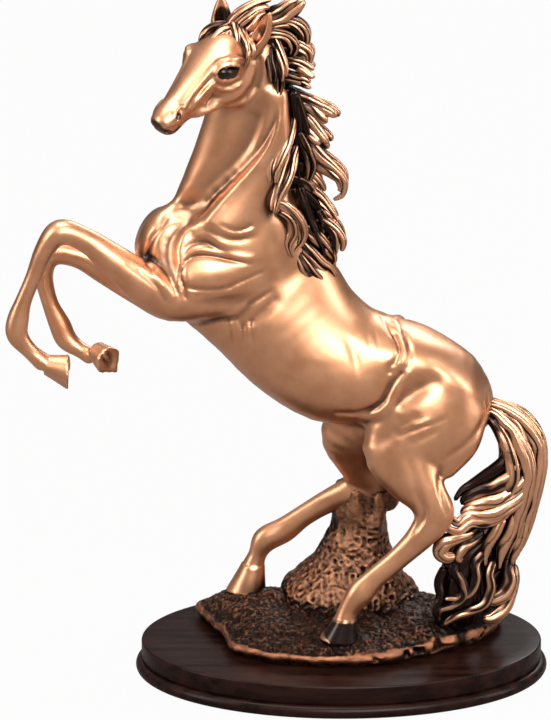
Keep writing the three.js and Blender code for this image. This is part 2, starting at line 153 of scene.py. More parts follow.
def vertex_places(mesh: Mesh) -> np.ndarray:
    """The places of a mesh's vertices, in millimetres of the sculpting frame."""
    return read(mesh.vertices, "co") / MM - [0, 0, STANDING]


def neighbour_mean(mesh: Mesh, values: np.ndarray) -> np.ndarray:
    """The mean of a value over each vertex's neighbours."""
    a, b = read(mesh.edges, "vertices", 2).T
    count = np.bincount(a, minlength=len(values)) + np.bincount(b, minlength=len(values))
    columns = values.reshape(len(values), -1)
    sums = [
        np.bincount(a, c[b], minlength=len(values)) + np.bincount(b, c[a],
            minlength=len(values)) for c in columns.T
    ]
    return (np.stack(sums, axis=1) / np.maximum(count, 1)[:, None]).reshape(values.shape)


def face_centres(mesh: Mesh) -> np.ndarray:
    """The middles of a mesh's faces, in millimetres of the sculpting frame."""
    return read(mesh.polygons, "center") / MM - [0, 0, STANDING]


def mark_hollows(made: Object, reach: int, gain: float) -> None:
    """Stores how hollow the surface is at each vertex, for the patina that gathers there.

    Args:
        made: the finished piece.
        reach: rounds of averaging, which set how wide a hollow counts.
        gain: strength of the mark; 0.5 stands for a flat place.
    """
    mesh = made.data
    co = read(mesh.vertices, "co").astype(float)
    smooth = co
    for _ in range(reach):
        smooth = neighbour_mean(mesh, smooth)
    hollow = ((smooth - co) * read(mesh.vertex_normals, "vector")).sum(axis=1) / MM
    for _ in range(2):
        hollow = neighbour_mean(mesh, hollow)
    mark = mesh.attributes.new("hollow", "FLOAT", "POINT")
    mark.data.foreach_set("value", np.clip(0.5 + gain * hollow, 0, 1).astype(np.float32))


def add_to_hollow_mark(mesh: Mesh, amounts: Iterable[np.ndarray]) -> None:
    """Adds amounts, one after another, to the hollow mark at each vertex."""
    mark = mesh.attributes["hollow"].data
    value = read(mark, "value", 1)
    for amount in amounts:
        value = (value + amount).astype(np.float32)
    mark.foreach_set("value", value)


def finish_piece(made: Object, material: Material, nodes: Sequence[str] = ()) -> None:
    """Gives a piece its material, and hands it to the frame.

    Args:
        made: the finished piece.
        material: its finish.
        nodes: the CAD nodes that it stands for.
    """
    made.data.materials.clear()
    made.data.materials.append(material)
    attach(made, BODY)
    if nodes:
        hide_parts(*nodes)
    log.info("%s: %d faces", made.name, len(made.data.polygons))


# Clay


@dataclass
class Clay:
    """A block of modelling clay, held as distances to its surface on a grid, so that forms melt together.

    Attributes:
        low: lowest corner of the block in its own frame, in millimetres.
        high: highest corner.
        step: spacing of the grid.
        turn: from the block's own frame to the statue's.
    """

    low: Triple
    high: Triple
    step: float
    turn: Matrix = field(default_factory=lambda: Matrix.Identity(4))
    distance: np.ndarray = field(init=False, repr=False)

    def __post_init__(self) -> None:
        """Starts the block empty."""
        size = [int(math.ceil((h - l) / self.step)) + 1 for l, h in zip(self.low, self.high)]
        self.distance = np.full(size, FAR, np.float32)
        self._tube = None
        self._touched = []
        self._axes = np.array(self.turn.to_3x3())
        self._shift = np.array(self.turn.translation)

    def to_own(self, points: np.ndarray) -> np.ndarray:
        """Places of the statue's frame, in the block's own frame."""
        return (np.asarray(points, float) - self._shift) @ self._axes

    def window(self, points: np.ndarray, reach: float) -> tuple[Window, np.ndarray] | None:
        """The part of the grid within reach of some places.

        Args:
            points: places in the statue's frame.
            reach: how far round them to go.

        Returns:
            The grid's slices and their places in the statue's frame, or None where they miss the block.
        """
        own = self.to_own(np.atleast_2d(points))
        first = np.floor((own.min(0) - reach - self.low) / self.step).astype(int)
        last = np.ceil((own.max(0) + reach - self.low) / self.step).astype(int) + 1
        first = np.maximum(first, 0)
        last = np.minimum(last, self.distance.shape)
        if np.any(last <= first):
            return None
        axes = [np.arange(a, b) * self.step + l for a, b, l in zip(first, last, self.low)]
        grid = np.stack(np.meshgrid(*axes, indexing="ij"), axis=-1).astype(np.float32)
        places = grid @ self._axes.T.astype(np.float32) + self._shift.astype(np.float32)
        return tuple(slice(a, b) for a, b in zip(first, last)), places

    def merge(self, where: Window, form: np.ndarray, blend: float, cut: bool = False) -> None:
        """Melts a form into the clay, or cuts it away, over a rounding of the given size."""
        held = self.distance[where]
        if cut:
            held, form = -held, form
        near = np.maximum(blend - np.abs(held - form), 0) / max(blend, TINY)
        made = np.minimum(held, form) - near * near * blend / 4
        self.distance[where] = -made if cut else made

    def tube(
        self,
        stations: Sequence[Station],
        blend: float = 3.0,
        hint: Sequence[float] = (0, 1, 0),
        per_span: int = 4,
        cut: bool = False,
    ) -> None:
        """Adds a tube of oval section.

        Args:
            stations: rows of x, y, z, half width along the hint, half depth, and a taper of the width
                towards the deep side, which may be left out.
            blend: size of the rounding where it meets the clay.
            hint: direction that the width keeps to.
            per_span: smooth steps between stations.
            cut: takes the tube away instead.
        """
        rows = np.array([list(s) + [0.0] * (6 - len(s)) for s in stations], float)
        rows = smooth_curve(rows, per_span)
        rows[:, 3:5] = np.maximum(rows[:, 3:5], 0.3)
        place, wide, deep, taper = rows[:, :3], rows[:, 3], rows[:, 4], rows[:, 5]
        along = np.gradient(place, axis=0)
        along /= np.linalg.norm(along, axis=1)[:, None]
        across = np.array(hint, float) - (along @ np.array(hint, float))[:, None] * along
        across /= np.linalg.norm(across, axis=1)[:, None]
        third = np.cross(along, across)
        for i in range(len(place) - 1):
            reach = max(wide[i], wide[i + 1], deep[i], deep[i + 1]) * 1.15 + blend + 2 * self.step
            found = self.window(place[i : i + 2], reach)
            if found is None:
                continue
            where, p = found
            span = place[i + 1] - place[i]
            rel = p - place[i].astype(np.float32)
            t = np.clip(rel @ (span / (span @ span)), 0, 1)
            off = rel - t[..., None] * span
            a, b, narrowing = (row[i] + (row[i + 1] - row[i]) * t for row in (wide, deep, taper))
            v = off @ ((third[i] + third[i + 1]) / 2)
            a = a * (1 - narrowing * np.clip(v / b, -1, 1))
            u = off @ ((across[i] + across[i + 1]) / 2)
            w = off @ ((along[i] + along[i + 1]) / 2)
            c = 0.7 * np.minimum(a, b)
            k0 = np.sqrt((u / a) ** 2 + (v / b) ** 2 + (w / c) ** 2)
            k1 = np.sqrt((u / a**2) ** 2 + (v / b**2) ** 2 + (w / c**2) ** 2)
            # neighbouring steps of one tube join sharply, and the whole tube melts into what was there
            self._pending(where, (k0 * (k0 - 1) / np.maximum(k1, TINY)).astype(np.float32))
        self._settle(blend, cut)

    def _pending(self, where: Window, form: np.ndarray) -> None:
        """Keeps a step of a tube until the whole tube is melted in."""
        if self._tube is None:
            self._tube = np.full(self.distance.shape, FAR, np.float32)
        self._touched.append(where)
        self._tube[where] = np.minimum(self._tube[where], form)

    def _settle(self, blend: float, cut: bool) -> None:
        """Melts the pending tube into the clay and empties it."""
        if not self._touched:
            return
        first = [min(w[k].start for w in self._touched) for k in range(3)]
        last = [max(w[k].stop for w in self._touched) for k in range(3)]
        where = tuple(slice(a, b) for a, b in zip(first, last))
        self.merge(where, self._tube[where], blend, cut)
        self._tube[where] = FAR
        self._touched.clear()

    def lump(
        self,
        centre: Sequence[float],
        radii: Sequence[float],
        along: Sequence[float] = (1, 0, 0),
        blend: float = 3.0,
        hint: Sequence[float] = (0, 1, 0),
        cut: bool = False,
    ) -> None:
        """Adds an egg-shaped lump, or cuts it away.

        Args:
            centre: its middle.
            radii: half length, half width along the hint, half depth.
            along: direction of its length.
            blend: size of the rounding where it meets the clay.
            hint: direction that the width keeps to.
            cut: takes the lump away instead.
        """
        found = self.window(centre, max(radii) + blend + 2 * self.step)
        if found is None:
            return
        where, p = found
        x = Vector(along).normalized()
        y = (Vector(hint) - x * Vector(hint).dot(x)).normalized()
        axes = np.array([x, y, x.cross(y)])
        q = (p - np.array(centre, np.float32)) @ axes.T / np.array(radii)
        k0 = np.linalg.norm(q, axis=-1)
        k1 = np.linalg.norm(q / np.array(radii), axis=-1)
        self.merge(where, (k0 * (k0 - 1) / np.maximum(k1, TINY)).astype(np.float32), blend, cut)

    def surface(self, x: float, z: float, side: Side) -> float | None:
        """The place across, in the block's own frame, where its surface lies at x and z on one side."""
        i = int(round((x - self.low[0]) / self.step))
        k = int(round((z - self.low[2]) / self.step))
        if not (0 <= i < self.distance.shape[0] and 0 <= k < self.distance.shape[2]):
            return None
        column = self.distance[i, :, k]
        order = range(len(column) - 1) if side is Side.LEFT else range(len(column) - 1, 0, -1)
        for j in order:
            nxt = j + 1 if side is Side.LEFT else j - 1
            if column[nxt] <= 0 < column[j]:
                share = column[j] / (column[j] - column[nxt])
                return self.low[1] + self.step * (j + share * (nxt - j))
        return None

    def stroke(self, path: Sequence[Station], side: Side, width: float, height: float) -> None:
        """Draws a ridge or a groove over one side of the clay.

        Args:
            path: rows of x and z in the block's own frame, and a share of the full strength if it varies.
            side: the side of the block that is worked.
            width: half width of the stroke.
            height: how far it stands proud; a negative height presses a groove.
        """
        rows = smooth_curve([list(row) + [1.0] * (3 - len(row)) for row in path], 6)
        spots = []
        for x, z, strength in rows:
            y = self.surface(x, z, side)
            if y is not None:
                spots.append([x, y, z, strength])
        if len(spots) < 2:
            return
        self.ridge(np.array(spots), width, height)

    def ridge(self, spots: np.ndarray, width: float, height: float, sharp: bool = False) -> None:
        """Draws a ridge or a groove through places of the block's own frame.

        Args:
            spots: rows of x, y, z and a share of the full strength.
            width: half width of the stroke.
            height: how far it stands proud; a negative height presses a groove.
            sharp: gives it a crease down its middle instead of a round bottom.
        """
        world = spots[:, :3] @ self._axes.T + self._shift
        found = self.window(world, 3 * width + self.step)
        if found is None:
            return
        where, p = found
        best = np.zeros(p.shape[:3], np.float32)
        for i in range(len(world) - 1):
            sub = self.window(world[i : i + 2], 3 * width + self.step)
            if sub is None:
                continue
            local, q = sub
            inner = tuple(slice(s.start - w.start, s.stop - w.start) for s, w in zip(local, where))
            span = world[i + 1] - world[i]
            rel = q - world[i].astype(np.float32)
            t = np.clip(rel @ (span / max(span @ span, 1e-9)), 0, 1)
            gone = np.linalg.norm(rel - t[..., None] * span, axis=-1) / width
            fade = np.exp(-1.4 * gone) if sharp else np.exp(-gone * gone)
            strength = spots[i, 3] + (spots[i + 1, 3] - spots[i, 3]) * t
            best[inner] = np.maximum(best[inner], fade * strength)
        self.distance[where] -= height * best

    def soften(self, reach: float) -> None:
        """Smooths the surface over about the given reach, so that joins between steps vanish."""
        sigma = reach / self.step
        half = int(math.ceil(2.5 * sigma))
        weight = np.exp(-0.5 * (np.arange(-half, half + 1) / sigma) ** 2)
        weight /= weight.sum()
        for axis in range(3):
            pad = [(half, half) if k == axis else (0, 0) for k in range(3)]
            held = np.pad(self.distance, pad, mode="edge")
            made = np.zeros_like(self.distance)
            for i, share in enumerate(weight):
                cut = tuple(slice(i,
                    i + self.distance.shape[k]) if k == axis else slice(None) for k in range(3))
                made += np.float32(share) * held[cut]
            self.distance = made

    def displace(self, depth: Callable[[np.ndarray], np.ndarray]) -> None:
        """Moves the surface out by a function of place, in the band near it."""
        band = np.argwhere(np.abs(self.distance) < 4 * self.step + 3)
        own = band * self.step + np.array(self.low)
        index = tuple(band.T)
        self.distance[index] -= depth(own @ self._axes.T + self._shift).astype(np.float32)

    def to_bmesh(self) -> BMesh:
        """Casts the clay's surface as a mesh, in metres in the statue's frame."""
        band = 3 * self.step
        grid = openvdb.FloatGrid(band)
        grid.copyFromArray(np.clip(self.distance, -band, band), tolerance=0.0)
        points, quads = grid.convertToQuads(0.0)
        own = points.astype(float) * self.step + np.array(self.low)
        places = own @ self._axes.T + self._shift
        mesh = bpy.data.meshes.new("casting")
        mesh.from_pydata(((places + [0, 0, STANDING]) * MM).tolist(), [], quads.tolist())
        cast = bmesh.new()
        cast.from_mesh(mesh)
        bpy.data.meshes.remove(mesh)
        return cast


# Finishes


class NodeSheet:
    """A short way to write a node tree: adds nodes and links them by name."""

    def __init__(self, tree: NodeTree) -> None:
        """Works on the given tree."""
        self.tree = tree

    def add(self, kind: str, **settings: object) -> Node:
        """Adds a node of a kind, with its settings; `inputs` holds values under the inputs' names."""
        node = self.tree.nodes.new(kind)
        for key, value in settings.items():
            if key == "inputs":
                for name, given in value.items():
                    self.feed(given, node.inputs[name])
            else:
                setattr(node, key, value)
        return node

    def feed(self, given: object, socket: NodeSocket) -> None:
        """Links an output to a socket, or sets the socket to a plain value."""
        if isinstance(given, NodeSocket):
            self.tree.links.new(given, socket)
        else:
            socket.default_value = given

    def math(self, operation: str, a: object, b: object = 0.0, clamp: bool = False) -> NodeSocket:
        """One arithmetic step."""
        node = self.add("ShaderNodeMath", operation=operation, use_clamp=clamp, inputs={0: a, 1: b})
        return node.outputs[0]

    def span(self, value: object, low: float, high: float, to_low: float = 0.0,
            to_high: float = 1.0) -> NodeSocket:
        """Maps a range onto another, smoothly and within its ends."""
        node = self.add(
            "ShaderNodeMapRange",
            interpolation_type="SMOOTHSTEP",
            inputs={"Value": value, "From Min": low, "From Max": high, "To Min": to_low, "To Max": to_high},
        )
        return node.outputs["Result"]

    def blend(self, share: object, first: object, second: object) -> NodeSocket:
        """Mixes two colours."""
        node = self.add("ShaderNodeMix", data_type="RGBA")
        self.feed(share, node.inputs[0])
        self.feed(first, node.inputs[6])
        self.feed(second, node.inputs[7])
        return node.outputs[2]

    def noise(self, place: object, scale: float, detail: float = 3.0,
            roughness: float = 0.55) -> NodeSocket:
        """Fractal noise over a place, from 0 to 1."""
        node = self.add(
            "ShaderNodeTexNoise",
            inputs={"Vector": place, "Scale": scale, "Detail": detail, "Roughness": roughness},
        )
        return node.outputs["Fac"]


def new_material(name: str) -> tuple[Material, NodeSheet, Node]:
    """Starts a material: the material, a sheet for writing it, and its shader."""
    made = bpy.data.materials.new(name)
    made.use_nodes = True
    return made, NodeSheet(made.node_tree), made.node_tree.nodes["Principled BSDF"]


def new_group(name: str, sockets: Sequence[tuple[str, str, str, object]]) -> tuple[NodeTree, NodeSheet]:
    """Starts a shared node group.

    Args:
        name: its name.
        sockets: rows of IN or OUT, name, socket type and default value.

    Returns:
        The group's tree and a sheet for writing it.
    """
    tree = bpy.data.node_groups.new(name, "ShaderNodeTree")
    for way, label, kind, default in sockets:
        socket = tree.interface.new_socket(label, in_out="INPUT" if way == "IN" else "OUTPUT",
            socket_type=kind)
        if default is not None:
            socket.default_value = default
    return tree, NodeSheet(tree)


def patina_and_shade_group() -> NodeTree:
    """The shared patina and painted shade: a mask of where the metal shows bright, with neither patina nor
    painted shade over it, and a slow mottling.
    """
    value = "NodeSocketFloat"
    tree, sheet = new_group(
        "patina_and_shade_mask",
        [
            ("IN", "Rubbed From", value, 0.3),
            ("IN", "Rubbed To", value, 0.6),
            ("IN", "Mottle Size", value, 180.0),
            ("IN", "Mottle", value, 0.1),
            ("OUT", "Rubbed", value, None),
            ("OUT", "Mottling", value, None),
            ("OUT", "Grain", value, None),
        ],
    )
    given = sheet.add("NodeGroupInput")
    place = sheet.add("ShaderNodeTexCoord").outputs["Object"]
    # the hollow mark holds the patina and the painted shade
    hollow = sheet.add("ShaderNodeAttribute", attribute_name="hollow").outputs["Fac"]
    mottling = sheet.noise(place, given.outputs["Mottle Size"], 4.0)
    fine = sheet.noise(place, 1900.0, 2.0)
    shifted = sheet.math("ADD", hollow, sheet.math("MULTIPLY", sheet.math("SUBTRACT", mottling, 0.5),
        given.outputs["Mottle"]))
    span = sheet.add(
        "ShaderNodeMapRange",
        interpolation_type="SMOOTHSTEP",
        inputs={
            "Value": shifted,
            "From Min": given.outputs["Rubbed To"],
            "From Max": given.outputs["Rubbed From"],
        },
    )
    out = sheet.add("NodeGroupOutput")
    sheet.feed(span.outputs["Result"], out.inputs["Rubbed"])
    sheet.feed(mottling, out.inputs["Mottling"])
    sheet.feed(fine, out.inputs["Grain"])
    return tree


@dataclass(frozen=True)
class BronzeFinish:
    """Chased bronze with a patina left in its hollows, and painted shade where the statue closes a place
    in.

    Attributes:
        name: the material's name.
        metal: colour where the metal is rubbed bright.
        patina: colour of the patina in the hollows, also laid as painted shade.
        rubbed: the hollow mark below which the metal is bright, and above which patina and painted shade
            cover it.
        roughness: of the bright metal and of the patina.
        mottle: how much slow mottling shifts the edge of the patina.
        mottle_size: scale of that mottling.
        relief: strength of the fine bump.
        lacquer: weight of the clear coat.
    """

    name: str
    metal: Triple
    patina: Triple
    rubbed: Pair
    roughness: Pair
    mottle: float = 0.1
    mottle_size: float = 90.0
    relief: float = 0.04
    lacquer: float = 0.7

    def material(self, patina: NodeTree) -> Material:
        """Makes the material from the shared patina and painted shade group."""
        made, sheet, shader = new_material(self.name)
        mask = sheet.add("ShaderNodeGroup", node_tree=patina)
        for label, value in (
            ("Rubbed From", self.rubbed[0]),
            ("Rubbed To", self.rubbed[1]),
            ("Mottle Size", self.mottle_size),
            ("Mottle", self.mottle),
        ):
            mask.inputs[label].default_value = value
        rubbed = mask.outputs["Rubbed"]
        warm = tuple(c * k for c, k in zip(self.metal, (0.92, 0.86, 0.8)))
        metal = sheet.blend(sheet.span(mask.outputs["Mottling"], 0.35, 0.65), (*warm, 1), (*self.metal, 1))
        # patina colour laid where the hollow mark is high, for the patina and the painted shade
        sheet.feed(sheet.blend(rubbed, (*self.patina, 1), metal), shader.inputs["Base Color"])
        rough = sheet.add(
            "ShaderNodeMapRange",
            inputs={"Value": rubbed, "To Min": self.roughness[1], "To Max": self.roughness[0]},
        ).outputs["Result"]
        spread = sheet.math("MULTIPLY", sheet.math("SUBTRACT", mask.outputs["Mottling"], 0.5), 0.12)
        sheet.feed(sheet.math("ADD", rough, spread, clamp=True), shader.inputs["Roughness"])
        shader.inputs["Metallic"].default_value = 1.0
        shader.inputs["Coat Weight"].default_value = self.lacquer
        shader.inputs["Coat Roughness"].default_value = 0.26
        bump = sheet.add(
            "ShaderNodeBump",
            inputs={"Strength": self.relief, "Distance": 0.0004, "Height": mask.outputs["Grain"]},
        )
        sheet.feed(bump.outputs["Normal"], shader.inputs["Normal"])
        return made


@dataclass(frozen=True)
class WoodFinish:
    """Dark stained wood under satin lacquer, its grain along X."""

    name: str = "mahogany_stain"
    dark: Triple = (0.006, 0.002, 0.0014)
    light: Triple = (0.021, 0.0065, 0.0045)
    roughness: float = 0.3

    def material(self) -> Material:
        """Makes the wood."""
        made, sheet, shader = new_material(self.name)
        place = sheet.add("ShaderNodeTexCoord").outputs["Object"]
        drawn = sheet.add("ShaderNodeMapping", inputs={"Vector": place,
            "Scale": (6.0, 90.0, 90.0)}).outputs[0]
        figure = sheet.noise(drawn, 2.2, 5.0, 0.6)
        pores = sheet.add("ShaderNodeMapping", inputs={"Vector": place,
            "Scale": (60.0, 1400.0, 1400.0)}).outputs[0]
        pore = sheet.span(sheet.noise(pores, 1.0, 2.0), 0.62, 0.75)
        colour = sheet.blend(sheet.span(figure, 0.35, 0.68), (*self.dark, 1), (*self.light, 1))
        colour = sheet.blend(sheet.math("MULTIPLY", pore, 0.6), colour, (0.01, 0.004, 0.003, 1))
        sheet.feed(colour, shader.inputs["Base Color"])
        sheet.feed(sheet.span(figure, 0.2, 0.8, self.roughness - 0.05, self.roughness + 0.08),
            shader.inputs["Roughness"])
        shader.inputs["Specular IOR Level"].default_value = 0.15
        height = sheet.math("SUBTRACT", sheet.math("MULTIPLY", figure, 0.3),
            sheet.math("MULTIPLY", pore, 0.5))
        bump = sheet.add("ShaderNodeBump", inputs={"Strength": 0.12, "Distance": 0.0003, "Height": height})
        sheet.feed(bump.outputs["Normal"], shader.inputs["Normal"])
        return made


@dataclass(frozen=True)
class FeltFinish:
    """Black pressed felt."""

    name: str = "black_felt"
    colour: Triple = (0.02, 0.02, 0.021)

    def material(self) -> Material:
        """Makes the felt."""
        made, sheet, shader = new_material(self.name)
        place = sheet.add("ShaderNodeTexCoord").outputs["Object"]
        fibres = sheet.noise(place, 1500.0, 4.0, 0.7)
        light = tuple(2.5 * c for c in self.colour)
        sheet.feed(sheet.blend(fibres, (*self.colour, 1), (*light, 1)), shader.inputs["Base Color"])
        shader.inputs["Roughness"].default_value = 0.95
        shader.inputs["Sheen Weight"].default_value = 0.4
        bump = sheet.add("ShaderNodeBump", inputs={"Strength": 0.5, "Distance": 0.0005, "Height": fibres})
        sheet.feed(bump.outputs["Normal"], shader.inputs["Normal"])
        return made


@dataclass(frozen=True)
class SteelFinish:
    """Zinc plated steel, with fine turning marks."""

    name: str = "zinc_steel"
    colour: Triple = (0.62, 0.62, 0.6)

    def material(self) -> Material:
        """Makes the steel."""
        made, sheet, shader = new_material(self.name)
        place = sheet.add("ShaderNodeTexCoord").outputs["Object"]
        turned = sheet.add("ShaderNodeMapping", inputs={"Vector": place,
            "Scale": (300.0, 300.0, 4000.0)}).outputs[0]
        marks = sheet.noise(turned, 1.0, 3.0)
        darker = tuple(0.75 * c for c in self.colour)
        sheet.feed(sheet.blend(marks, (*darker, 1), (*self.colour, 1)), shader.inputs["Base Color"])
        shader.inputs["Metallic"].default_value = 1.0
        sheet.feed(sheet.span(marks, 0.2, 0.8, 0.28, 0.45), shader.inputs["Roughness"])
        return made


# Horse


@dataclass(frozen=True)
class Parting:
    """The plane where one casting meets the next.

    Attributes:
        point: a place on it.
        toward: direction of the outer casting.
        within: test of place that bounds the outer casting, in the statue's millimetres.
    """

    point: Triple
    toward: Triple
    within: Callable[[np.ndarray], np.ndarray]


@dataclass
class Head:
    """The head, modelled in its own frame: X runs back from the lips, Z is square to the face."""

    poll: Triple = (-54.0, -4.0, 332.5)
    yaw: float = 48.0
    pitch: float = 24.0
    step: float = 0.5

    def frame(self) -> Matrix:
        """From the head's own frame to the statue's."""
        yaw, pitch = math.radians(self.yaw), math.radians(self.pitch)
        forward = Vector((-math.cos(pitch) * math.cos(yaw), -math.cos(pitch) * math.sin(yaw),
            -math.sin(pitch)))
        left = Vector((math.sin(yaw), -math.cos(yaw), 0))
        up = forward.cross(left)
        turn = Matrix((-forward, -left, up)).transposed().to_4x4()
        turn.translation = self.poll
        return turn

    def place(self, along: float, across: float, rise: float) -> Triple:
        """A place of the head's own frame, along counted forwards from the poll, in the statue's frame."""
        return tuple(self.frame() @ Vector((-along, across, rise)))

    def direction(self, along: float, across: float, rise: float) -> Triple:
        """A direction of the head's own frame in the statue's frame."""
        return tuple(self.frame().to_3x3() @ Vector((-along, across, rise)))

    def tube(self, clay: Clay, rows: Sequence[Station], blend: float, cut: bool = False) -> None:
        """Adds a tube given in the head's own frame: along, across, rise, half width, half depth, taper."""
        stations = [(*self.place(*row[:3]), *row[3:]) for row in rows]
        clay.tube(stations, blend, hint=self.direction(0, 1, 0), cut=cut)

    def lump(
        self,
        clay: Clay,
        centre: Sequence[float],
        radii: Sequence[float],
        along: Sequence[float] = (1, 0, 0),
        blend: float = 2.0,
        cut: bool = False,
    ) -> None:
        """Adds a lump given in the head's own frame."""
        clay.lump(self.place(*centre), radii, self.direction(*along), blend, self.direction(0, 1, 0), cut)

    def masses(self, clay: Clay) -> None:
        """The large forms: skull, cheeks and muzzle."""
        self.tube(
            clay,
            [
                (-5, 0, -5, 8, 7), (3, 0, -3.5, 11.5, 10.5), (12, 0, -1.5, 14, 12, 0.1),
                    (21, 0, -2, 15, 12, 0.12),
                (31, 0, -3, 12, 10.6, 0.15), (42, 0, -4, 8.8, 9, 0.15), (52, 0, -4.4, 7.4, 7.4, 0.1),
                (60, 0, -4.6, 7.8, 6.8, 0), (65.5, 0, -5.4, 7.2, 6, 0),
            ],
            3,
        )  # fmt: skip
        for side in (-1, 1):
            self.lump(clay, (15, side * 8, -13.5), (14.5, 5, 13.5), (1, 0, -0.12), 4)
            self.lump(clay, (21, side * 12, 2.6), (7, 4.6, 4.8), (1, 0, 0.1), 3)
            self.tube(clay, [(20, side * 9.5, -21, 3, 3.6), (32, side * 6.6, -17, 2.8, 3.6),
                (46, side * 4.4, -13, 2.6, 3.2)], 3)
        self.tube(clay, [(44, 0, -12, 4.4, 3.2), (54, 0, -11.6, 4.8, 2.8), (62, 0, -11.6, 5, 3),
            (65, 0, -11, 3.8, 2.4)], 2.5)

    def features(self, clay: Clay) -> None:
        """Eyes, nostrils, mouth, cheek edge, face bones and veins."""
        for side in Side:
            s = side.value
            slant = (-0.84, s * 0.1, -0.54)
            self.lump(clay, (24, s * 15.8, 0), (7.4, 3.6, 3.6), slant, 1.0, cut=True)
            self.lump(clay, (24, s * 12.7, -0.3), (5.9, 3.2, 3.0), slant, 0.2)
            for width, height, sharp, rows in FACE_STROKES:
                spots = np.array([(x, -s * y, z, *(rest or [1.0])) for x, y, z, *rest in rows])
                clay.ridge(spots, width, height, sharp)
            self.lump(clay, (59.6, s * 8.6, -3.4), (3.4, 2.2, 1.0), (-1, 0, 0.75), 0.5, cut=True)

    def dark_spots(self) -> list[Spot]:
        """Where patina was left on the head: x, y, z, radius and strength."""
        spots = [
            (70, 1, -6, 6.0, 0.7), (62, -1, -14.5, 6.5, 1.2), (53, 0, -15, 5.5, 0.8), (68, -3, -11, 5, 0.8),
            *((along, s * y, z, r, share) for s in (-1, 1) for along, y, z, r, share in (
                (27.2, 13.2, 1.6, 3.6, 1.6), (24.4, 14.6, -0.2, 3.8, 1.6), (21.4, 14.8, -2, 3.6, 1.6),
                    (59.6, 8, -3.4, 2.2, 1.2),
            )),
        ]  # fmt: skip
        return [(*self.place(*row[:3]), *row[3:]) for row in spots]

    def ears(self, clay: Clay) -> None:
        """Two pricked ears, each a leaf with a deep cup."""
        for root, tip, opening in (
            ((-46, -14, 330), (-37.5, -19, 351), (-0.8, -0.55, -0.1)),
            ((-62.5, 1, 324), (-62.5, 3.5, 353.2), (-0.2, -0.97, -0.1)),
        ):
            a, b = Vector(root), Vector(tip)
            way = Vector(opening)
            across = (b - a).cross(way).normalized()
            spine = [a.lerp(b, t) - way * bow for t,
                bow in ((-0.1, 0), (0.2, 1.0), (0.5, 1.6), (0.8, 1.0), (1.0, 0.0))]
            size = 1.0 if root[1] > 0 else 0.85
            wide = [size * value for value in (4.0, 5.9, 5.9, 3.6, 0.7)]
            deep = (3.4, 3.8, 3.0, 2.0, 0.7)
            clay.tube([(*p, w, d) for p, w, d in zip(spine, wide, deep)], 1.5, tuple(across))
            cup = [a.lerp(b, t) + way * push for t,
                push in ((0.22, 4.2), (0.45, 3.4), (0.7, 2.6), (0.9, 1.9))]
            clay.tube([(*p, w, d) for p, w, d in zip(cup,
                [size * value for value in (2.6, 4.5, 3.8, 1.3)], (3.2, 3.8, 2.8, 1.4))], 0.5,
                tuple(across), cut=True)


# strokes over the near side of the face in the head's own frame, mirrored to the far side:
# half width, height, creased, then rows of x, y, z and a share of the full strength
FACE_STROKES: Sequence[tuple] = (
    (2.0, -2.4, False, ((-3.2, -14.4, -3.8, 0.3), (-5.4, -16.3, -8.3, 0.8), (-8.3, -15.9, -14.3),
        (-11.9, -14.7, -18.7),
                        (-17.5, -13.4, -21.4), (-23.8, -12.3, -21.4), (-29.3, -10.3, -19.9, 0.8),
                            (-33.5, -9.5, -16.4, 0.3))),
    (1.0, 1.4, False, ((-30.8, -11.4, 3.4, 0.6), (-26.7, -12.6, 4.9), (-22.8, -15.4, 4.4),
        (-18.2, -16.0, 0.2), (-15, -13.5, -6, 0.6))),
    (0.9, 1.0, False, ((-30.8, -11.3, 1.4, 0.6), (-29.3, -12.7, -2.3), (-25.1, -13.3, -5.6),
        (-19.1, -13.8, -7.4, 0.6))),
    (0.9, -1.2, False, ((-33, -11.4, 0.6, 0.4), (-30.5, -11.9, -4.9), (-25.3, -12.4, -8.6),
        (-17.9, -13.3, -10.5, 0.4))),
    (0.9, 0.9, False, ((-33.4, -11.3, -2.9, 0.4), (-29.6, -10.6, -8.8), (-24.3, -11.6, -12.2),
        (-19.1, -13.4, -12.6, 0.4))),
    (1.6, 1.5, False, ((-26, -11.3, 7.6, 0.5), (-22.1, -14.4, 7.4), (-16.6, -15.8, 4),
        (-11, -13.5, -4, 0.4))),
    (1.4, 1.4, False, ((-24.9, -10.9, 7.3, 0.4), (-30.1, -9.1, 5.5), (-36.4, -8, 3.4),
        (-43.2, -7.3, 1.8), (-49.4, -6.8, -0.2),
                       (-53.9, -6.5, -1.6, 0.6))),
    (1.5, -1.4, False, ((-31.6, -10.9, 2.4, 0.4), (-36.6, -9.9, 1.3), (-41.4, -8.5, -0.6),
        (-46.9, -8.4, -1.7), (-50.6, -7.5, -3.9, 0.5))),
    (1.2, 1.0, False, ((-33.7, -11.3, -0.5, 0.3), (-38.8, -9.7, -1.7), (-43.6, -8.5, -3.7),
        (-48.2, -7.4, -6.5, 0.6))),
    (1.1, 1.2, False, ((-62.8, -7.4, -2.6, 0.5), (-60, -6.4, -0.4), (-55.9, -6.3, 0.4),
        (-54.2, -7.3, -1.9, 0.6))),
    (0.8, -1.7, True, ((-47.8, -5.3, -12.4, 0.4), (-52.2, -4.8, -12.6), (-58.4, -5.8, -10.2),
        (-65.6, -7, -6.8), (-69.4, -3.6, -6.4, 0.6))),
    (1.8, -1.3, False, ((-39.1, -7.3, -12.2, 0.4), (-34.6, -7.5, -9.9), (-32.5, -11.4, -3.6, 0.4))),
)  # fmt: skip


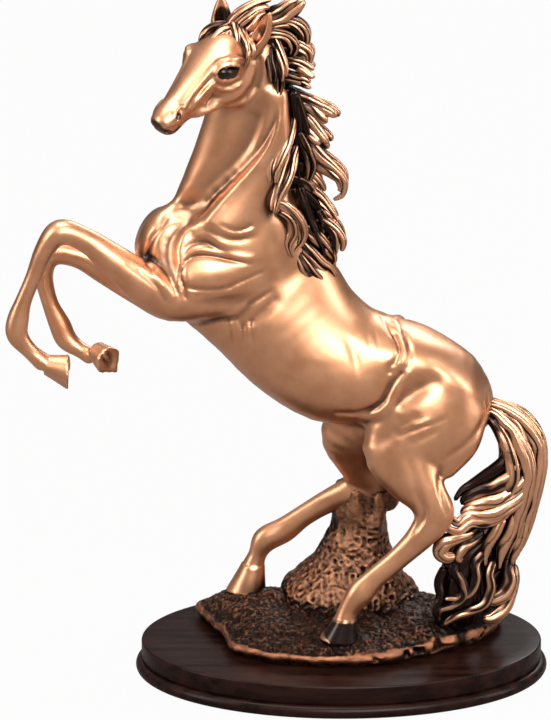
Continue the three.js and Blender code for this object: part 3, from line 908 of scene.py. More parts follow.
@dataclass
class Leg:
    """One leg from its root in the trunk to the sole.

    Attributes:
        name: the CAD node of its lower casting; not used.
        stations: x, y, z, half width across, half depth and taper, from root to hoof.
        coronet: the centre of the hoof's top.
        sole: the centre of its sole.
        toe: direction from the sole's centre to the toe.
        hoof: half widths of the hoof at the coronet and at the sole, across and fore and aft.
        raised: the hoof is off the ground and shows its sole.
    """

    name: str
    stations: Sequence[Station]
    coronet: Triple
    sole: Triple
    toe: Triple
    hoof: Pair = (6.2, 9.0)
    raised: bool = False

    def add_hoof(self, clay: Clay) -> None:
        """Adds the hoof, a slanting cone from the coronet to the sole, and a frog under a raised one."""
        top, bottom = Vector(self.coronet), Vector(self.sole)
        axis = (bottom - top).normalized()
        toe = Vector(self.toe) - axis * Vector(self.toe).dot(axis)
        toe.normalize()
        across = axis.cross(toe)
        small, large = self.hoof
        found = clay.window(top, 2.2 * large)
        if found is None:
            return
        where, p = found
        length = (bottom - top).length
        rel = p - np.array(top, np.float32)
        level = rel @ np.array(axis, np.float32)
        share = np.clip(level / length, 0, 1.2)
        radius = small + (large - small) * share
        lean, pointed = (0.65, 0.75) if self.raised else (0.35, 0.0)
        forward = rel @ np.array(toe, np.float32) - lean * share * small
        sideways = rel @ np.array(across, np.float32)
        reach = radius * (1.0 + 0.12 * share)
        narrow = radius * (1.0 - pointed * np.clip(forward / reach, 0, 1))
        wall = (np.sqrt((forward / reach) ** 2 + (sideways / narrow) ** 2) - 1) * radius
        form = np.maximum(wall, np.maximum(level - length, -level - 0.8))
        clay.merge(where, form.astype(np.float32), 0.8)
        if self.raised:
            clay.lump(bottom + toe * 1.3, (0.78 * large, 0.42 * large, 1.4), toe, 0.5, across, cut=True)
            clay.lump(bottom - toe * 1.0 - axis * 0.5, (0.55 * large, 1.2, 1.4), toe, 0.6, across)


TRUNK: Sequence[Station] = (
    (-102, 0, 218.5, 6, 6), (-94.5, 0, 216, 15, 14), (-81, 0, 212, 21, 25.5),
        (-62.5, 0, 204.5, 23, 34, 0.1),
    (-41.5, 0, 194, 26, 38.5, 0.22), (-23, 0, 171, 29.5, 36, 0.15), (-3.5, 0, 155.5, 31.5, 33.5, 0.1),
    (16, 0, 150.5, 29, 29.5), (35.5, 0, 144, 25, 28.5), (54.5, 0, 135, 20, 25.5), (67, 0, 126.5, 13, 16.5),
    (73.5, 0, 123, 6, 6),
)  # fmt: skip
NECK: Sequence[Station] = (
    (-50, 0, 220, 21, 33, 0), (-54, 0, 236, 18.5, 34, 0.05), (-53.5, -1, 252.5, 15, 29.5, 0.05),
    (-52, -2, 267.5, 13, 25.5, 0), (-50.5, -3, 282.5, 12, 22.5, -0.05), (-50, -4, 296, 11.5, 19.5, -0.1),
    (-47.5, -5, 310.5, 11, 15.5), (-43.5, -6, 322.5, 10, 12.5), (-40.5, -6, 329, 7, 8),
)  # fmt: skip
LEGS: Sequence[Leg] = (
    Leg(
        "foreleg_left",
        (
            (-44, -14, 208, 8, 8), (-57, -18, 205.5, 11, 14), (-71, -20, 203.5, 12, 17),
                (-87, -22, 200.5, 11.5, 15.5),
            (-102, -25, 206.5, 10.5, 11.5),
            (-119, -27, 220.5, 8.5, 8.5), (-132, -28, 231, 6.5, 6.5), (-145.5, -29, 236, 6.8, 6.5),
            (-153.5, -29, 226, 5.4, 5.4), (-159, -29, 212, 3.9, 4.6), (-164.5, -29, 198.5, 3.9, 4.6),
            (-167.5, -29, 188, 4.8, 6), (-168, -29, 179.5, 5, 5.8), (-161.5, -28, 170.5, 4.3, 4.4),
            (-154.5, -28, 164, 5.2, 5.2),
        ),
        coronet=(-153.5, -28, 162.5), sole=(-141.4, -28, 162), toe=(0, 0, -1), hoof=(5.6, 8.6), raised=True,
    ),
    Leg(
        "foreleg_right",
        (
            (-48, 14, 196, 8, 8), (-61, 18, 193, 11, 14), (-74, 19, 190.5, 12, 16),
                (-88.5, 21, 184, 11.5, 14.5),
            (-105, 24, 188.5, 10.5, 11), (-123, 25, 197, 8.5, 8.5),
            (-137.5, 25, 204, 6.5, 6.5), (-152, 24, 206, 6.8, 6.5), (-155.5, 23, 195.5, 5.4, 5.4),
            (-154, 22, 186, 4, 4.8), (-151.5, 21, 177.5, 3.9, 4.8), (-147, 20, 167.5, 4.8, 6),
                (-143.5, 19, 159.5, 5, 5.8),
            (-136, 17, 154.5, 4.3, 4.4), (-131, 15.5, 152, 5.2, 5),
        ),
        coronet=(-127.4, 14.5, 154.4), sole=(-122.3, 7.6, 153.4), toe=(0.64, 0, -0.77), hoof=(5.6, 7.8),
            raised=True,
    ),
    Leg(
        "hind_leg_left",
        (
            (52, -8, 146, 18, 22), (43, -14, 129.5, 18, 29), (31.5, -20, 113.5, 13.5, 21),
                (36, -25, 100, 10.5, 15),
            (44, -28, 90, 8, 11), (48, -29, 80.5, 6.8, 10.5), (42.5, -30, 70.5, 6, 8),
                (30.5, -31, 58, 4.6, 6.3),
            (15.5, -32, 44.5, 4.4, 6.3), (9.5, -32, 37.5, 5.6, 7.3), (3.5, -32, 29, 4.8, 5.4),
                (1.5, -32, 22, 5.8, 6.2),
        ),
        coronet=(1.5, -32, 22.5), sole=(0.5, -32, 11.5), toe=(-1, 0, 0), hoof=(6.2, 9.2),
    ),
    Leg(
        "hind_leg_right",
        (
            (40.5, 8, 137, 18, 23), (22.5, 13, 124.5, 17.5, 24), (7.5, 18, 108, 13, 18.5),
                (10, 24, 91.5, 9.5, 13.5),
            (16.5, 27, 77, 7.4, 10.5), (4, 27, 71.5, 6.2, 8.2), (-8, 28, 65.5, 4.8, 6.6),
                (-20.5, 28, 57.5, 4.4, 6.2),
            (-30, 28, 50, 4.6, 7.2), (-40, 28, 44.5, 5.6, 7), (-44, 28, 36.5, 4.8, 5),
                (-46.5, 28, 29.5, 5.8, 6.2),
        ),
        coronet=(-46.5, 28, 30), sole=(-48, 28, 15), toe=(-1, 0, 0), hoof=(6.4, 9.6),
    ),
)  # fmt: skip


@dataclass(frozen=True)
class Stroke:
    """A ridge or a groove of the chasing, drawn on both sides of the horse.

    Attributes:
        width: half width.
        height: how far it stands proud; a negative height presses a groove.
        path: rows of x, z and a share of the full strength.
        drop: how much lower it lies on the right side.
    """

    width: float
    height: float
    path: Sequence[Station]
    drop: float = 0.0


STROKES: Sequence[Stroke] = (
    # neck
    Stroke(5.0, -3.2, ((-47.8, 293.7, 0.5), (-53, 277), (-66, 260), (-76.4, 248), (-81.6, 242))),
    Stroke(2.2, -2.2, ((-34.3, 299, 0.2), (-36.9, 289.3, 0.9), (-43, 277.3), (-53, 265), (-65, 252.5),
        (-73, 243, 0.8))),
    Stroke(2.2, 1.2, ((-32, 299, 0.2), (-33.5, 289.3, 0.9), (-39, 276), (-48.5, 263.5), (-60, 251),
        (-69, 241, 0.6))),
    Stroke(4.5, -3.6, ((-71, 246.5, 0.6), (-77, 244), (-84.2, 241.5), (-90.5, 238.5, 0.6))),
    Stroke(4.5, -1.3, ((-38.5, 262.8, 0.2), (-36, 242.4, 0.6), (-34.3, 229.6), (-30.7, 217, 0.5),
        (-26, 209.2, 0.2))),
    # breast and shoulder
    Stroke(1.6, -1.6, ((-90.5, 239.5, 0.6), (-92, 236.5), (-98.5, 228), (-101, 219.3), (-97.2, 215)),
        drop=4),
    Stroke(3.4, -2.6, ((-76, 240, 0.4), (-86, 234), (-90, 227.4), (-90, 219.2), (-87.5, 211.8),
        (-83, 203, 0.6)), drop=4),
    Stroke(2.4, 1.3, ((-72, 238, 0.3), (-80.5, 233), (-83, 226), (-83.3, 218), (-80.5, 210, 0.5)),
        drop=4),
    Stroke(2.6, -2.2, ((-72, 237.5, 0.3), (-66, 234.6), (-59.3, 232), (-53, 231.4, 0.8),
        (-47.8, 232.3, 0.2)), drop=3),
    Stroke(1.5, -1.3, ((-63, 238.4, 0.3), (-57.2, 236, 0.8), (-52, 235.6), (-47.8, 237.4, 0.6)), drop=3),
    Stroke(1.5, 1.2, ((-62.4, 236, 0.3), (-57.2, 233.8, 0.8), (-52, 233.4), (-46.8, 235, 0.6)), drop=3),
    Stroke(2.0, -1.8, ((-81.5, 225.2, 0.3), (-75, 228.4), (-69.7, 229), (-63.4, 225, 0.7),
        (-57.2, 221.6, 0.2)), drop=6),
    Stroke(1.8, 1.5, ((-82, 219.5, 0.5), (-76.5, 224.8), (-68, 225), (-60, 223), (-47, 220.5, 0.4)),
        drop=7),
    Stroke(1.2, -1.7, ((-82.7, 215.6, 0.8), (-80.6, 219.8), (-75.4, 222.2), (-67.2, 222), (-58.2, 220),
        (-46.8, 217.6, 0.2)), drop=8),
    Stroke(7.0, 2.2, ((-76, 214, 0.7), (-66, 214.5), (-54, 215, 0.6)), drop=8),
    Stroke(1.3, -1.9, ((-82.7, 214.5, 0.8), (-80.8, 207.6), (-71.2, 205.4), (-60.8, 205.6),
        (-53, 208.6, 0.7), (-41.6, 212.6, 0.3)), drop=9),
    Stroke(1.0, -0.9, ((-79, 203.2, 0.4), (-70.7, 202.2, 0.8), (-62.4, 203, 0.4)), drop=9),
    Stroke(4.0, -2.4, ((-74, 198.6, 0.4), (-66, 197.6), (-57.2, 197.6), (-49.4, 198.4, 0.5)), drop=9),
    # armpit
    Stroke(1.5, -2.4, ((-78, 177.5, 0.5), (-66, 184.8, 0.9), (-56.2, 187), (-50.4, 191.2), (-46.8, 195.6),
        (-41.6, 199.2, 0.7), (-36.5, 202.2, 0.2)), drop=9),
    Stroke(4.0, -2.6, ((-51, 185.5, 0.6), (-46.5, 188.4), (-41.5, 192.1), (-36, 197, 0.6)), drop=9),
    Stroke(0.9, -1.1, ((-58.8, 185.8, 0.7), (-57.7, 179.5), (-57.2, 172.3, 0.2)), drop=9),
    Stroke(0.9, -1.1, ((-52.5, 185.8, 0.7), (-51.5, 180.3), (-51.5, 174.6, 0.2)), drop=9),
    Stroke(0.9, -1.1, ((-47.3, 186.1, 0.8), (-46.8, 180.2), (-45.8, 173.5, 0.2)), drop=9),
    # cords of the forearm where it leaves the breast
    Stroke(1.2, -1.3, ((-101.5, 219.6, 0.3), (-95.6, 217.6), (-90.2, 212.5), (-86.2, 204.4, 0.6)),
        drop=14),
    Stroke(1.3, 1.1, ((-103, 217.2, 0.3), (-97.6, 214.4), (-92.4, 209), (-88, 201.4, 0.6)), drop=14),
    Stroke(1.2, -1.3, ((-110.2, 219.5, 0.3), (-102.4, 214), (-96.2, 208), (-91.5, 200.2, 0.6)), drop=14),
    Stroke(1.0, -1.2, ((-83.6, 214.6, 0.4), (-82.6, 208.9), (-80.4, 200.5, 0.6)), drop=9),
    Stroke(1.0, 0.9, ((-85.4, 214.6, 0.4), (-84.6, 208.9), (-82.2, 200.5, 0.6)), drop=9),
    # ribs and flank
    Stroke(0.7, -0.5, ((12.5, 176.7, 0.3), (14, 172.1), (15.6, 166, 0.2))),
    Stroke(0.7, -0.5, ((16.1, 177.6, 0.3), (18.2, 173.1), (19.2, 165.9, 0.2))),
    Stroke(2.4, -1.0, ((2, 176, 0.2), (6, 168), (8, 158, 0.3))),
    Stroke(1.6, -2.6, ((21, 179.8, 0.2), (26, 175, 0.8), (29.4, 170), (28, 164.5), (24.4, 161, 0.6))),
    Stroke(1.8, 1.9, ((24, 180.5, 0.2), (29.4, 175, 0.8), (32, 169.6), (31, 163.6, 0.8))),
    Stroke(1.5, -2.0, ((32, 174.2, 0.3), (34.6, 169), (34, 162, 0.7), (32, 158, 0.3))),
    Stroke(1.3, -1.5, ((24.4, 158.4), (30.2, 159.4, 0.5))),
    Stroke(1.6, -3.5, ((30, 157.6, 0.7), (25.5, 152.6), (22.8, 147.2), (20.3, 142), (14.6, 137.6),
        (6.3, 135, 0.9), (-2, 135.6, 0.4))),
    Stroke(2.4, 2.2, ((33.2, 157.4, 0.4), (29.4, 150, 0.9), (26, 143), (18.2, 135, 0.9),
        (10, 130.6, 0.5))),
    # thigh
    Stroke(4.2, -3.2, ((30.5, 142.5, 0.7), (35.3, 145.6), (41, 149.8), (47.2, 152.8, 0.7))),
    Stroke(4.6, -2.2, ((19.8, 120.8, 0.6), (26, 127, 0.9), (36, 134, 0.4))),
    Stroke(1.3, -1.5, ((29.1, 124.4, 0.3), (35.4, 127.8), (40.6, 129.7), (47.8, 131.6, 0.7),
        (54.1, 133.8, 0.2))),
    Stroke(1.6, 1.3, ((32, 128.4, 0.3), (38, 131), (44, 132.8, 0.6))),
    Stroke(2.4, -1.3, ((36.4, 121.8, 0.3), (44.7, 125.6, 0.9), (51, 129.6, 0.3))),
    Stroke(2.2, -1.9, ((76, 139, 0.4), (74.6, 131, 0.9), (71, 124), (64.6, 118.4), (57.6, 114.2, 0.8),
        (53, 110.6, 0.3))),
    Stroke(5.0, -1.0, ((46.8, 156, 0.3), (57.2, 140.3, 0.8), (58.8, 129.5, 0.5))),
    # gaskin and hock
    Stroke(2.6, -1.0, ((33, 115, 0.2), (36.4, 106.8, 0.8), (38.6, 96.3), (39, 87.9, 0.4))),
    Stroke(1.7, -1.5, ((51, 106, 0.3), (50.6, 97.4), (52.1, 89.8), (54.2, 83, 0.5))),
    Stroke(1.3, 0.8, ((36.4, 94, 0.3), (39.2, 86), (38.6, 78.3, 0.8), (34.8, 71.6, 0.4))),
    Stroke(1.4, -0.9, ((40, 93, 0.3), (42.4, 86), (41.6, 79, 0.9), (37.4, 72, 0.4))),
    Stroke(1.3, 0.8, ((43, 93.6, 0.3), (45.6, 86.4), (44.6, 79.6, 0.9), (40, 72.4, 0.4))),
)  # fmt: skip


# where the patina was left thick: x, y, z, radius and strength
STAINS: Sequence[Spot] = (
    (1, -33, 14, 11.5, 1.6), (-47.5, 28, 20, 11, 0.42), (-47.5, 28, 15, 6, 0.5), (-62, 0, 343, 6, 0.6),
        (-42, -17.5, 341, 4, 0.4),
)  # fmt: skip


@dataclass
class Horse:
    """The bronze horse: one modelled form, parted into its castings."""

    step: float = 0.85
    chasing: float = 0.72  # share of their full height to which the strokes are drawn
    flesh: float = 1.5  # reach of the smoothing that runs the masses together
    head: Head = field(default_factory=Head)
    low: Triple = (-181, -44, 8)
    high: Triple = (86, 44, 345)

    def partings(self) -> dict[str, Parting]:
        """The outer castings and where each is parted from the trunk, outermost first."""
        return {
            "head": Parting((-47, -5, 311), (-0.62, -0.4, 0.67), lambda p: p[:, 2] > 280),
            "neck": Parting((-50, 0, 227), (0.348, 0, 0.9375), lambda p: p[:, 0] > -92),
            "foreleg_left": Parting((-98, -24, 204), (-0.9, -0.4, 0),
                lambda p: (p[:, 1] < -9) & (p[:, 0] < -88)),
            "foreleg_right": Parting((-100, 23.5, 186), (-0.9, 0.4, 0),
                lambda p: (p[:, 1] > 1) & (p[:, 0] < -88)),
            "hind_leg_left": Parting((36, -26, 99), (0, 0, -1), lambda p: p[:, 1] < 0),
            "hind_leg_right": Parting((9.5, 24, 99), (0, 0, -1), lambda p: p[:, 1] > 0),
        }

    def trunk_and_neck(self, clay: Clay) -> None:
        """The barrel, breast, shoulders, haunches and neck."""
        clay.tube(TRUNK, 6)
        clay.tube(NECK, 14)
        for side in Side:
            s = side.value
            drop = 0 if side is Side.LEFT else -9
            clay.lump((-86, s * 8, 221 + drop / 3), (19.5, 14, 20.5), (1, 0, 0.1), 8)
            blade = [(-34, s * 13, 233, 6, 12), (-50, s * 17, 226, 7, 18),
                (-69, s * 19, 217 + drop / 2, 8, 17)]
            clay.tube([*blade, (-84, s * 19, 211 + drop, 8, 12)], 9)
            clay.tube(
                [(-34, s * 8 - 5, 306, 4, 6), (-36, s * 11 - 3, 277, 6, 8.5), (-49, s * 15 - 1, 251, 7, 11),
                 (-64, s * 19, 233, 8, 11)],
                6,
            )  # fmt: skip
            clay.tube([(60, s * 7, 147, 9, 8), (40, s * 13, 158, 12, 10), (18, s * 12, 165, 11, 8),
                (2, s * 10, 172, 7, 5)], 9)
            clay.tube([(64, s * 11, 132, 10, 12), (58, s * 17, 118, 9, 14), (50, s * 20, 104, 7, 10)], 6)

    def muscles(self, clay: Clay) -> None:
        """Creases, folds, tendons and veins drawn over the finished masses."""
        for side in Side:
            for stroke in STROKES:
                drop = 0 if side is Side.LEFT else stroke.drop
                path = [(x, z - drop, *rest) for x, z, *rest in stroke.path]
                clay.stroke(path, side, stroke.width, self.chasing * stroke.height)

    def sculpt(self, clay: Clay) -> None:
        """Models the whole horse in one block of clay."""
        self.trunk_and_neck(clay)
        for leg in LEGS:
            clay.tube(leg.stations, 5)
        self.head.masses(clay)
        clay.soften(self.flesh)
        for leg in LEGS:
            leg.add_hoof(clay)
        self.muscles(clay)

    def build(self, bronze: Material, cavities: Cavities) -> None:
        """Casts the horse and parts it into its castings."""
        body = Clay(self.low, self.high, coarser(self.step))
        self.sculpt(body)
        partings = self.partings()
        names = ["torso", *partings]
        whole = self.cast_whole(body, cavities, list(partings.values()))
        owner = self.owners(whole, list(partings.values()))
        for index, name in enumerate(names):
            if name != "head":
                self.take(whole, owner == index, name, bronze)
        face = Clay((-86, -44, -42), (28, 27, 32), coarser(self.head.step), self.head.frame())
        self.sculpt(face)
        self.head.features(face)
        self.head.ears(face)
        head = self.cast_whole(face, cavities, [partings["head"]])
        self.take(head, self.owners(head, [partings["head"]]) == 1, "head", bronze)
        for mesh in (whole, head):
            bpy.data.meshes.remove(mesh)

    @staticmethod
    def cast_whole(clay: Clay, cavities: Cavities, partings: Sequence[Parting]) -> Mesh:
        """Casts a block of clay, smooths it, marks its hollows and cuts its faces along the partings."""
        cast = clay.to_bmesh()
        mesh = bpy.data.meshes.new("whole")
        cast.to_mesh(mesh)
        places = read(mesh.vertices, "co")
        for share in (0.5, -0.52, 0.5, -0.52):
            places = places + share * (neighbour_mean(mesh, places) - places)
        mesh.vertices.foreach_set("co", places.astype(np.float32).ravel())
        mesh.update()
        made = make_object(mesh, "whole")
        mark_hollows(made, 8, 1.0)
        # patina and painted shade where the statue closes the surface in
        cavities.darken_patina_and_shade(made, short=0.15, long=0.4)
        cavities.darken_spots(made, [*STAINS, *Head().dark_spots()])
        bpy.data.objects.remove(made)
        cast.free()
        cast = bmesh.new()
        cast.from_mesh(mesh)
        cast.faces.ensure_lookup_table()
        centres = face_centres(mesh)
        near = []
        for parting in partings:
            off = np.abs((centres - parting.point) @ np.array(parting.toward))
            chosen = np.nonzero((off < 4 * clay.step) & parting.within(centres))[0]
            near.append([cast.faces[i] for i in chosen])
        for parting, faces in zip(partings, near):
            edges = {e for f in faces for e in f.edges}
            verts = {v for f in faces for v in f.verts}
            point = (Vector(parting.point) + Vector((0, 0, STANDING))) * MM
            bmesh.ops.bisect_plane(
                cast, geom=[*faces, *edges, *verts], dist=SAME, plane_co=point,
                    plane_no=Vector(parting.toward)
            )
        cast.to_mesh(mesh)
        cast.free()
        return mesh

    @staticmethod
    def owners(mesh: Mesh, partings: Sequence[Parting]) -> np.ndarray:
        """For each face, 0 for the trunk or the number of the parting beyond which it lies."""
        centres = face_centres(mesh)
        owner = np.zeros(len(centres), int)
        for index, parting in enumerate(partings):
            beyond = (centres - parting.point) @ np.array(parting.toward) > 0
            owner[beyond & parting.within(centres) & (owner == 0)] = index + 1
        return owner

    @staticmethod
    def take(whole: Mesh, kept: np.ndarray, name: str, bronze: Material) -> None:
        """Takes one casting out of the whole, closes its cut faces and hands it over."""
        part = bmesh.new()
        part.from_mesh(whole)
        part.verts.index_update()
        part.faces.ensure_lookup_table()
        drop = [part.faces[i] for i in np.nonzero(~kept)[0]]
        origin = part.verts.layers.int.new("origin")
        for vert in part.verts:
            vert[origin] = vert.index
        bmesh.ops.delete(part, geom=drop, context="FACES")
        rim = [e for e in part.edges if e.is_boundary]
        bmesh.ops.holes_fill(part, edges=rim, sides=0)
        for f in part.faces:
            f.smooth = True
        mesh = bpy.data.meshes.new(name)
        part.to_mesh(mesh)
        part.free()
        source = np.empty(len(mesh.vertices), np.int32)
        mesh.attributes["origin"].data.foreach_get("value", source)
        mesh.attributes.remove(mesh.attributes["origin"])
        mesh.normals_split_custom_set_from_vertices(read(whole.vertex_normals, "vector")[source].tolist())
        finish_piece(make_object(mesh, f"{name}_bronze"), bronze, [name])


# Hair


@dataclass(frozen=True)
class Lock:
    """One lock of hair: a flat tapering body of grooved strands.

    Attributes:
        spine: rows of x, y, z, half width and half thickness, from root to tip.
        strands: ridges all round the lock.
        twist: turns of the strands round the lock over its length.
        thin: direction of its thickness.
        groove: depth of the grooves as a share of the lock's half width or thickness.
        shade: patina and painted shade over the whole lock at its root and at its tip, from 0 to 1; locks
            that lie under others are darkened as painted shade, and below 0 a lock is lightened.
    """

    spine: Sequence[Station]
    strands: int = 5
    twist: float = 0.15
    thin: Triple = (0, 1, 0)
    groove: float = 0.24
    shade: Pair = (0.45, 0.0)
    seed: int = 1

    def parted(self) -> list[Lock]:
        """The lock as two strands that lie side by side and end apart; a thick lock stays whole."""
        rows = smooth_curve(self.spine, 2)
        if rows[:, 3].max() > 6.5:
            return [self]
        along = np.gradient(rows[:, :3], axis=0)
        length = np.linalg.norm(along, axis=1).sum()
        along /= np.linalg.norm(along, axis=1)[:, None]
        thin = np.array(self.thin, float) - (along @ np.array(self.thin, float))[:, None] * along
        thin /= np.linalg.norm(thin, axis=1)[:, None]
        broad = np.cross(along, thin)
        share = np.linspace(0, 1, len(rows))[:, None]
        chance = np.random.default_rng(int(abs(rows[:, :3]).sum() * 10) + self.seed)
        made = []
        for across in (-0.46, 0.46):
            sway = across * (0.85 + 0.35 * share) + 0.12 * np.sin(7 * share + chance.uniform(0, 6))
            place = rows[:, :3] + broad * sway * rows[:, 3:4] + thin * chance.uniform(-0.25,
                0.25) * rows[:, 4:5]
            place = place + along * chance.uniform(-0.12, 0.05) * length * share**2
            spine = np.hstack([place, rows[:, 3:4] * (0.74 - 0.1 * share),
                rows[:, 4:5] * (1.0 - 0.15 * share)])
            made.append(replace(self, spine=spine, strands=3 + (across > 0), seed=self.seed + len(made)))
        return made

    def cast(self, bm: BMesh, spacing: float) -> None:
        """Adds the lock to a mesh, with its patina and painted shade stored at each vertex.

        Args:
            bm: the mesh of the whole group of locks, in metres.
            spacing: distance between rings, in millimetres.
        """
        rows = smooth_curve(self.spine, 8)
        length = np.concatenate([[0], np.cumsum(np.linalg.norm(np.diff(rows[:, :3], axis=0), axis=1))])
        count = max(int(length[-1] / spacing), 8)
        at = np.linspace(0, length[-1], count)
        rows = np.stack([np.interp(at, length, column) for column in rows.T], axis=1)
        share = at / at[-1]
        place, wide, thick = rows[:, :3], np.maximum(rows[:, 3], 0.7), np.maximum(rows[:, 4], 0.7)
        along = np.gradient(place, axis=0)
        along /= np.linalg.norm(along, axis=1)[:, None]
        hint = np.array(self.thin, float)
        thin = hint - (along @ hint)[:, None] * along
        thin /= np.linalg.norm(thin, axis=1)[:, None]
        broad = np.cross(along, thin)
        around = self.strands * 10
        angle = np.arange(around + 1) / around * 2 * np.pi
        wander = 0.35 * lattice_noise(place + 17.0 * self.seed, 8.0, self.seed)
        phase = np.pi * (self.twist * share * self.strands + wander)[:, None]
        warped = angle[None, :] + 0.3 * np.sin(2 * angle[None, :] + self.seed)
        coarse = np.abs(np.sin(self.strands / 2 * warped + phase))
        fine = np.abs(np.sin(self.strands * 1.5 * warped + 2.3 * phase))
        ridge = 0.88 * coarse + 0.12 * fine
        blunt = 1.6 * wide[-1]
        tip = np.sqrt(1 - (1 - np.clip((at[-1] - at) / blunt, 0, 1)) ** 2)
        root = np.sqrt(1 - (1 - np.clip(at / (0.8 * wide[0]), 0, 1)) ** 2)
        size = 1 - self.groove * (1 - coarse**0.6) - 0.3 * self.groove * (1 - fine**0.7)
        size = (tip * root)[:, None] * size
        size[:, -1] = size[:, 0]
        ring = place[:, None] + (broad * wide[:, None])[:,
            None] * (np.cos(angle)[None, :, None] * size[..., None])
        ring = ring + (thin * thick[:, None])[:, None] * (np.sin(angle)[None, :, None] * size[..., None])
        ring[0], ring[-1] = ring[0].mean(0), ring[-1].mean(0)
        # the mark holds patina in the grooves, and the lock's painted shade along its length
        self.wrap(bm, ring, 1 - ridge + self.shade[0] + (self.shade[1] - self.shade[0]) * share[:, None])

    @staticmethod
    def wrap(bm: BMesh, ring: np.ndarray, shade: np.ndarray) -> None:
        """Wraps a grid into the closed tube through the given rings, and merges its seam and poles."""
        count, around = ring.shape[:2]
        layer = bm.verts.layers.float.get("hollow") or bm.verts.layers.float.new("hollow")
        verts = bmesh.ops.create_grid(bm, x_segments=around - 1, y_segments=count - 1, size=1)["verts"]
        for vert, co, mark in zip(verts, (ring.reshape(-1, 3) + [0, 0, STANDING]) * MM, shade.ravel()):
            vert.co = co
            vert[layer] = float(mark)
        bmesh.ops.remove_doubles(bm, verts=verts, dist=2e-6)


def opposite(plane: tuple) -> tuple:
    """The same plane, cutting away the other side."""
    point, away = plane
    return point, tuple(-value for value in away)


def lock(*spine: Station, **options: object) -> Lock:
    """A lock through the given stations."""
    return Lock(spine, **options)


@dataclass
class Cavities:
    """A coarse copy of the whole statue that tells how enclosed a place is, for the patina and the painted
    shade laid there.
    """

    clay: Clay = field(default_factory=lambda: Clay((-186, -64, -6), (118, 64, 362), 1.8))
    near: float = 3.5  # how far off a small hollow is felt
    far: float = 9.0  # how far off a large one is

    def add_locks(self, locks: Sequence[Lock]) -> None:
        """Fills the space that locks of hair take up."""
        for one in locks:
            self.clay.tube([(*s[:3], 0.8 * s[3], 0.8 * s[4]) for s in one.spine], 0.5, one.thin, 2)

    def darkness(self, places: np.ndarray, normals: np.ndarray, reach: float) -> np.ndarray:
        """How far the space in front of each place is closed in, from 0 in the open to 1."""
        clay = self.clay
        spot = (places + normals * reach - np.array(clay.low)) / clay.step
        spot = np.clip(spot, 0, np.array(clay.distance.shape) - 1.001)
        cell = np.floor(spot).astype(int)
        f = spot - cell
        found = np.zeros(len(places))
        for corner in range(8):
            bits = np.array([corner & 1, corner >> 1 & 1, corner >> 2 & 1])
            index = cell + bits
            found += np.prod(np.where(bits, f, 1 - f), axis=1) * clay.distance[tuple(index.T)]
        return 1 - np.clip(found / reach, 0, 1)

    def darken_patina_and_shade(self, made: Object, short: float, long: float) -> None:
        """Adds patina and painted shade to a piece's hollow mark where the statue closes it in; recesses,
        undersides and places between parts are darkened as painted shade.

        Args:
            made: a finished piece that has the mark.
            short: strength for hollows a few millimetres across.
            long: strength for larger ones.
        """
        mesh = made.data
        places, normals = vertex_places(mesh), read(mesh.vertex_normals, "vector")
        near, far = (self.darkness(places, normals, reach) for reach in (self.near, self.far))
        add_to_hollow_mark(mesh, [short * near + long * far])

    @staticmethod
    def darken_spots(made: Object, dark_spots: Sequence[Spot]) -> None:
        """Darkens a piece's hollow mark round some places: x, y, z, radius and strength; patina on the
        horse and painted shade on the tail.
        """
        places = vertex_places(made.data)
        amounts = []
        for x, y, z, radius, strength in dark_spots:
            off = np.linalg.norm(places - [x, y, z], axis=1) / radius
            amounts.append(strength * np.clip(1.6 - 1.6 * off**3, 0, 1))
        add_to_hollow_mark(made.data, amounts)


@dataclass
class Hair:
    """A group of locks cast as one piece.

    Attributes:
        node: the CAD node that it stands for.
        locks: its locks.
        spacing: distance between the rings of a lock.
        parted: each thin lock is drawn as strands of its own.
        groove: share of their own depth to which the grooves are drawn.
        dark_spots: rows of x, y, z, radius and strength of painted shade.
    """

    node: str
    locks: Sequence[Lock]
    spacing: float = 0.8
    parted: bool = True
    groove: float = 1.0
    dark_spots: Sequence[Spot] = ()

    def build(self, bronze: Material, cavities: Cavities, cuts: Sequence[tuple] = ()) -> None:
        """Casts the locks, trims them at the partings and hands the piece over.

        Args:
            bronze: its finish.
            cavities: the statue's hollows, where patina gathers and shade is painted.
            cuts: planes as a point and the direction that is cut away.
        """
        bm = bmesh.new()
        for one in self.locks:
            for strand in one.parted() if self.parted else [one]:
                drawn = replace(strand, groove=self.groove * strand.groove)
                drawn.cast(bm, coarser(self.spacing))
        for point, away in cuts:
            geometry = [*bm.verts, *bm.edges, *bm.faces]
            found = bmesh.ops.bisect_plane(
                bm,
                geom=geometry,
                dist=SAME,
                plane_co=(Vector(point) + Vector((0, 0, STANDING))) * MM,
                plane_no=Vector(away),
                clear_outer=True,
            )
            rim = [e for e in found["geom_cut"] if isinstance(e, BMEdge)]
            bmesh.ops.holes_fill(bm, edges=rim, sides=0)
        bmesh.ops.recalc_face_normals(bm, faces=bm.faces)
        for f in bm.faces:
            f.smooth = len(f.verts) < 5
            if not f.smooth:
                for e in f.edges:
                    e.smooth = False
        made = new_piece(bm, f"{self.node}_locks")
        # patina and painted shade where the statue closes the locks in
        cavities.darken_patina_and_shade(made, short=0.55, long=0.5)
        cavities.darken_spots(made, self.dark_spots)
        finish_piece(made, bronze, [self.node])


def mirrored(locks: Sequence[Lock], middle: float) -> list[Lock]:
    """The same locks on the far side of the crest, with strands of their own."""
    made = []
    for one in locks:
        spine = [(x, 2 * middle - y, z, *rest) for x, y, z, *rest in one.spine]
        made.append(replace(one, spine=spine, twist=-one.twist, seed=one.seed + 50))
    return made
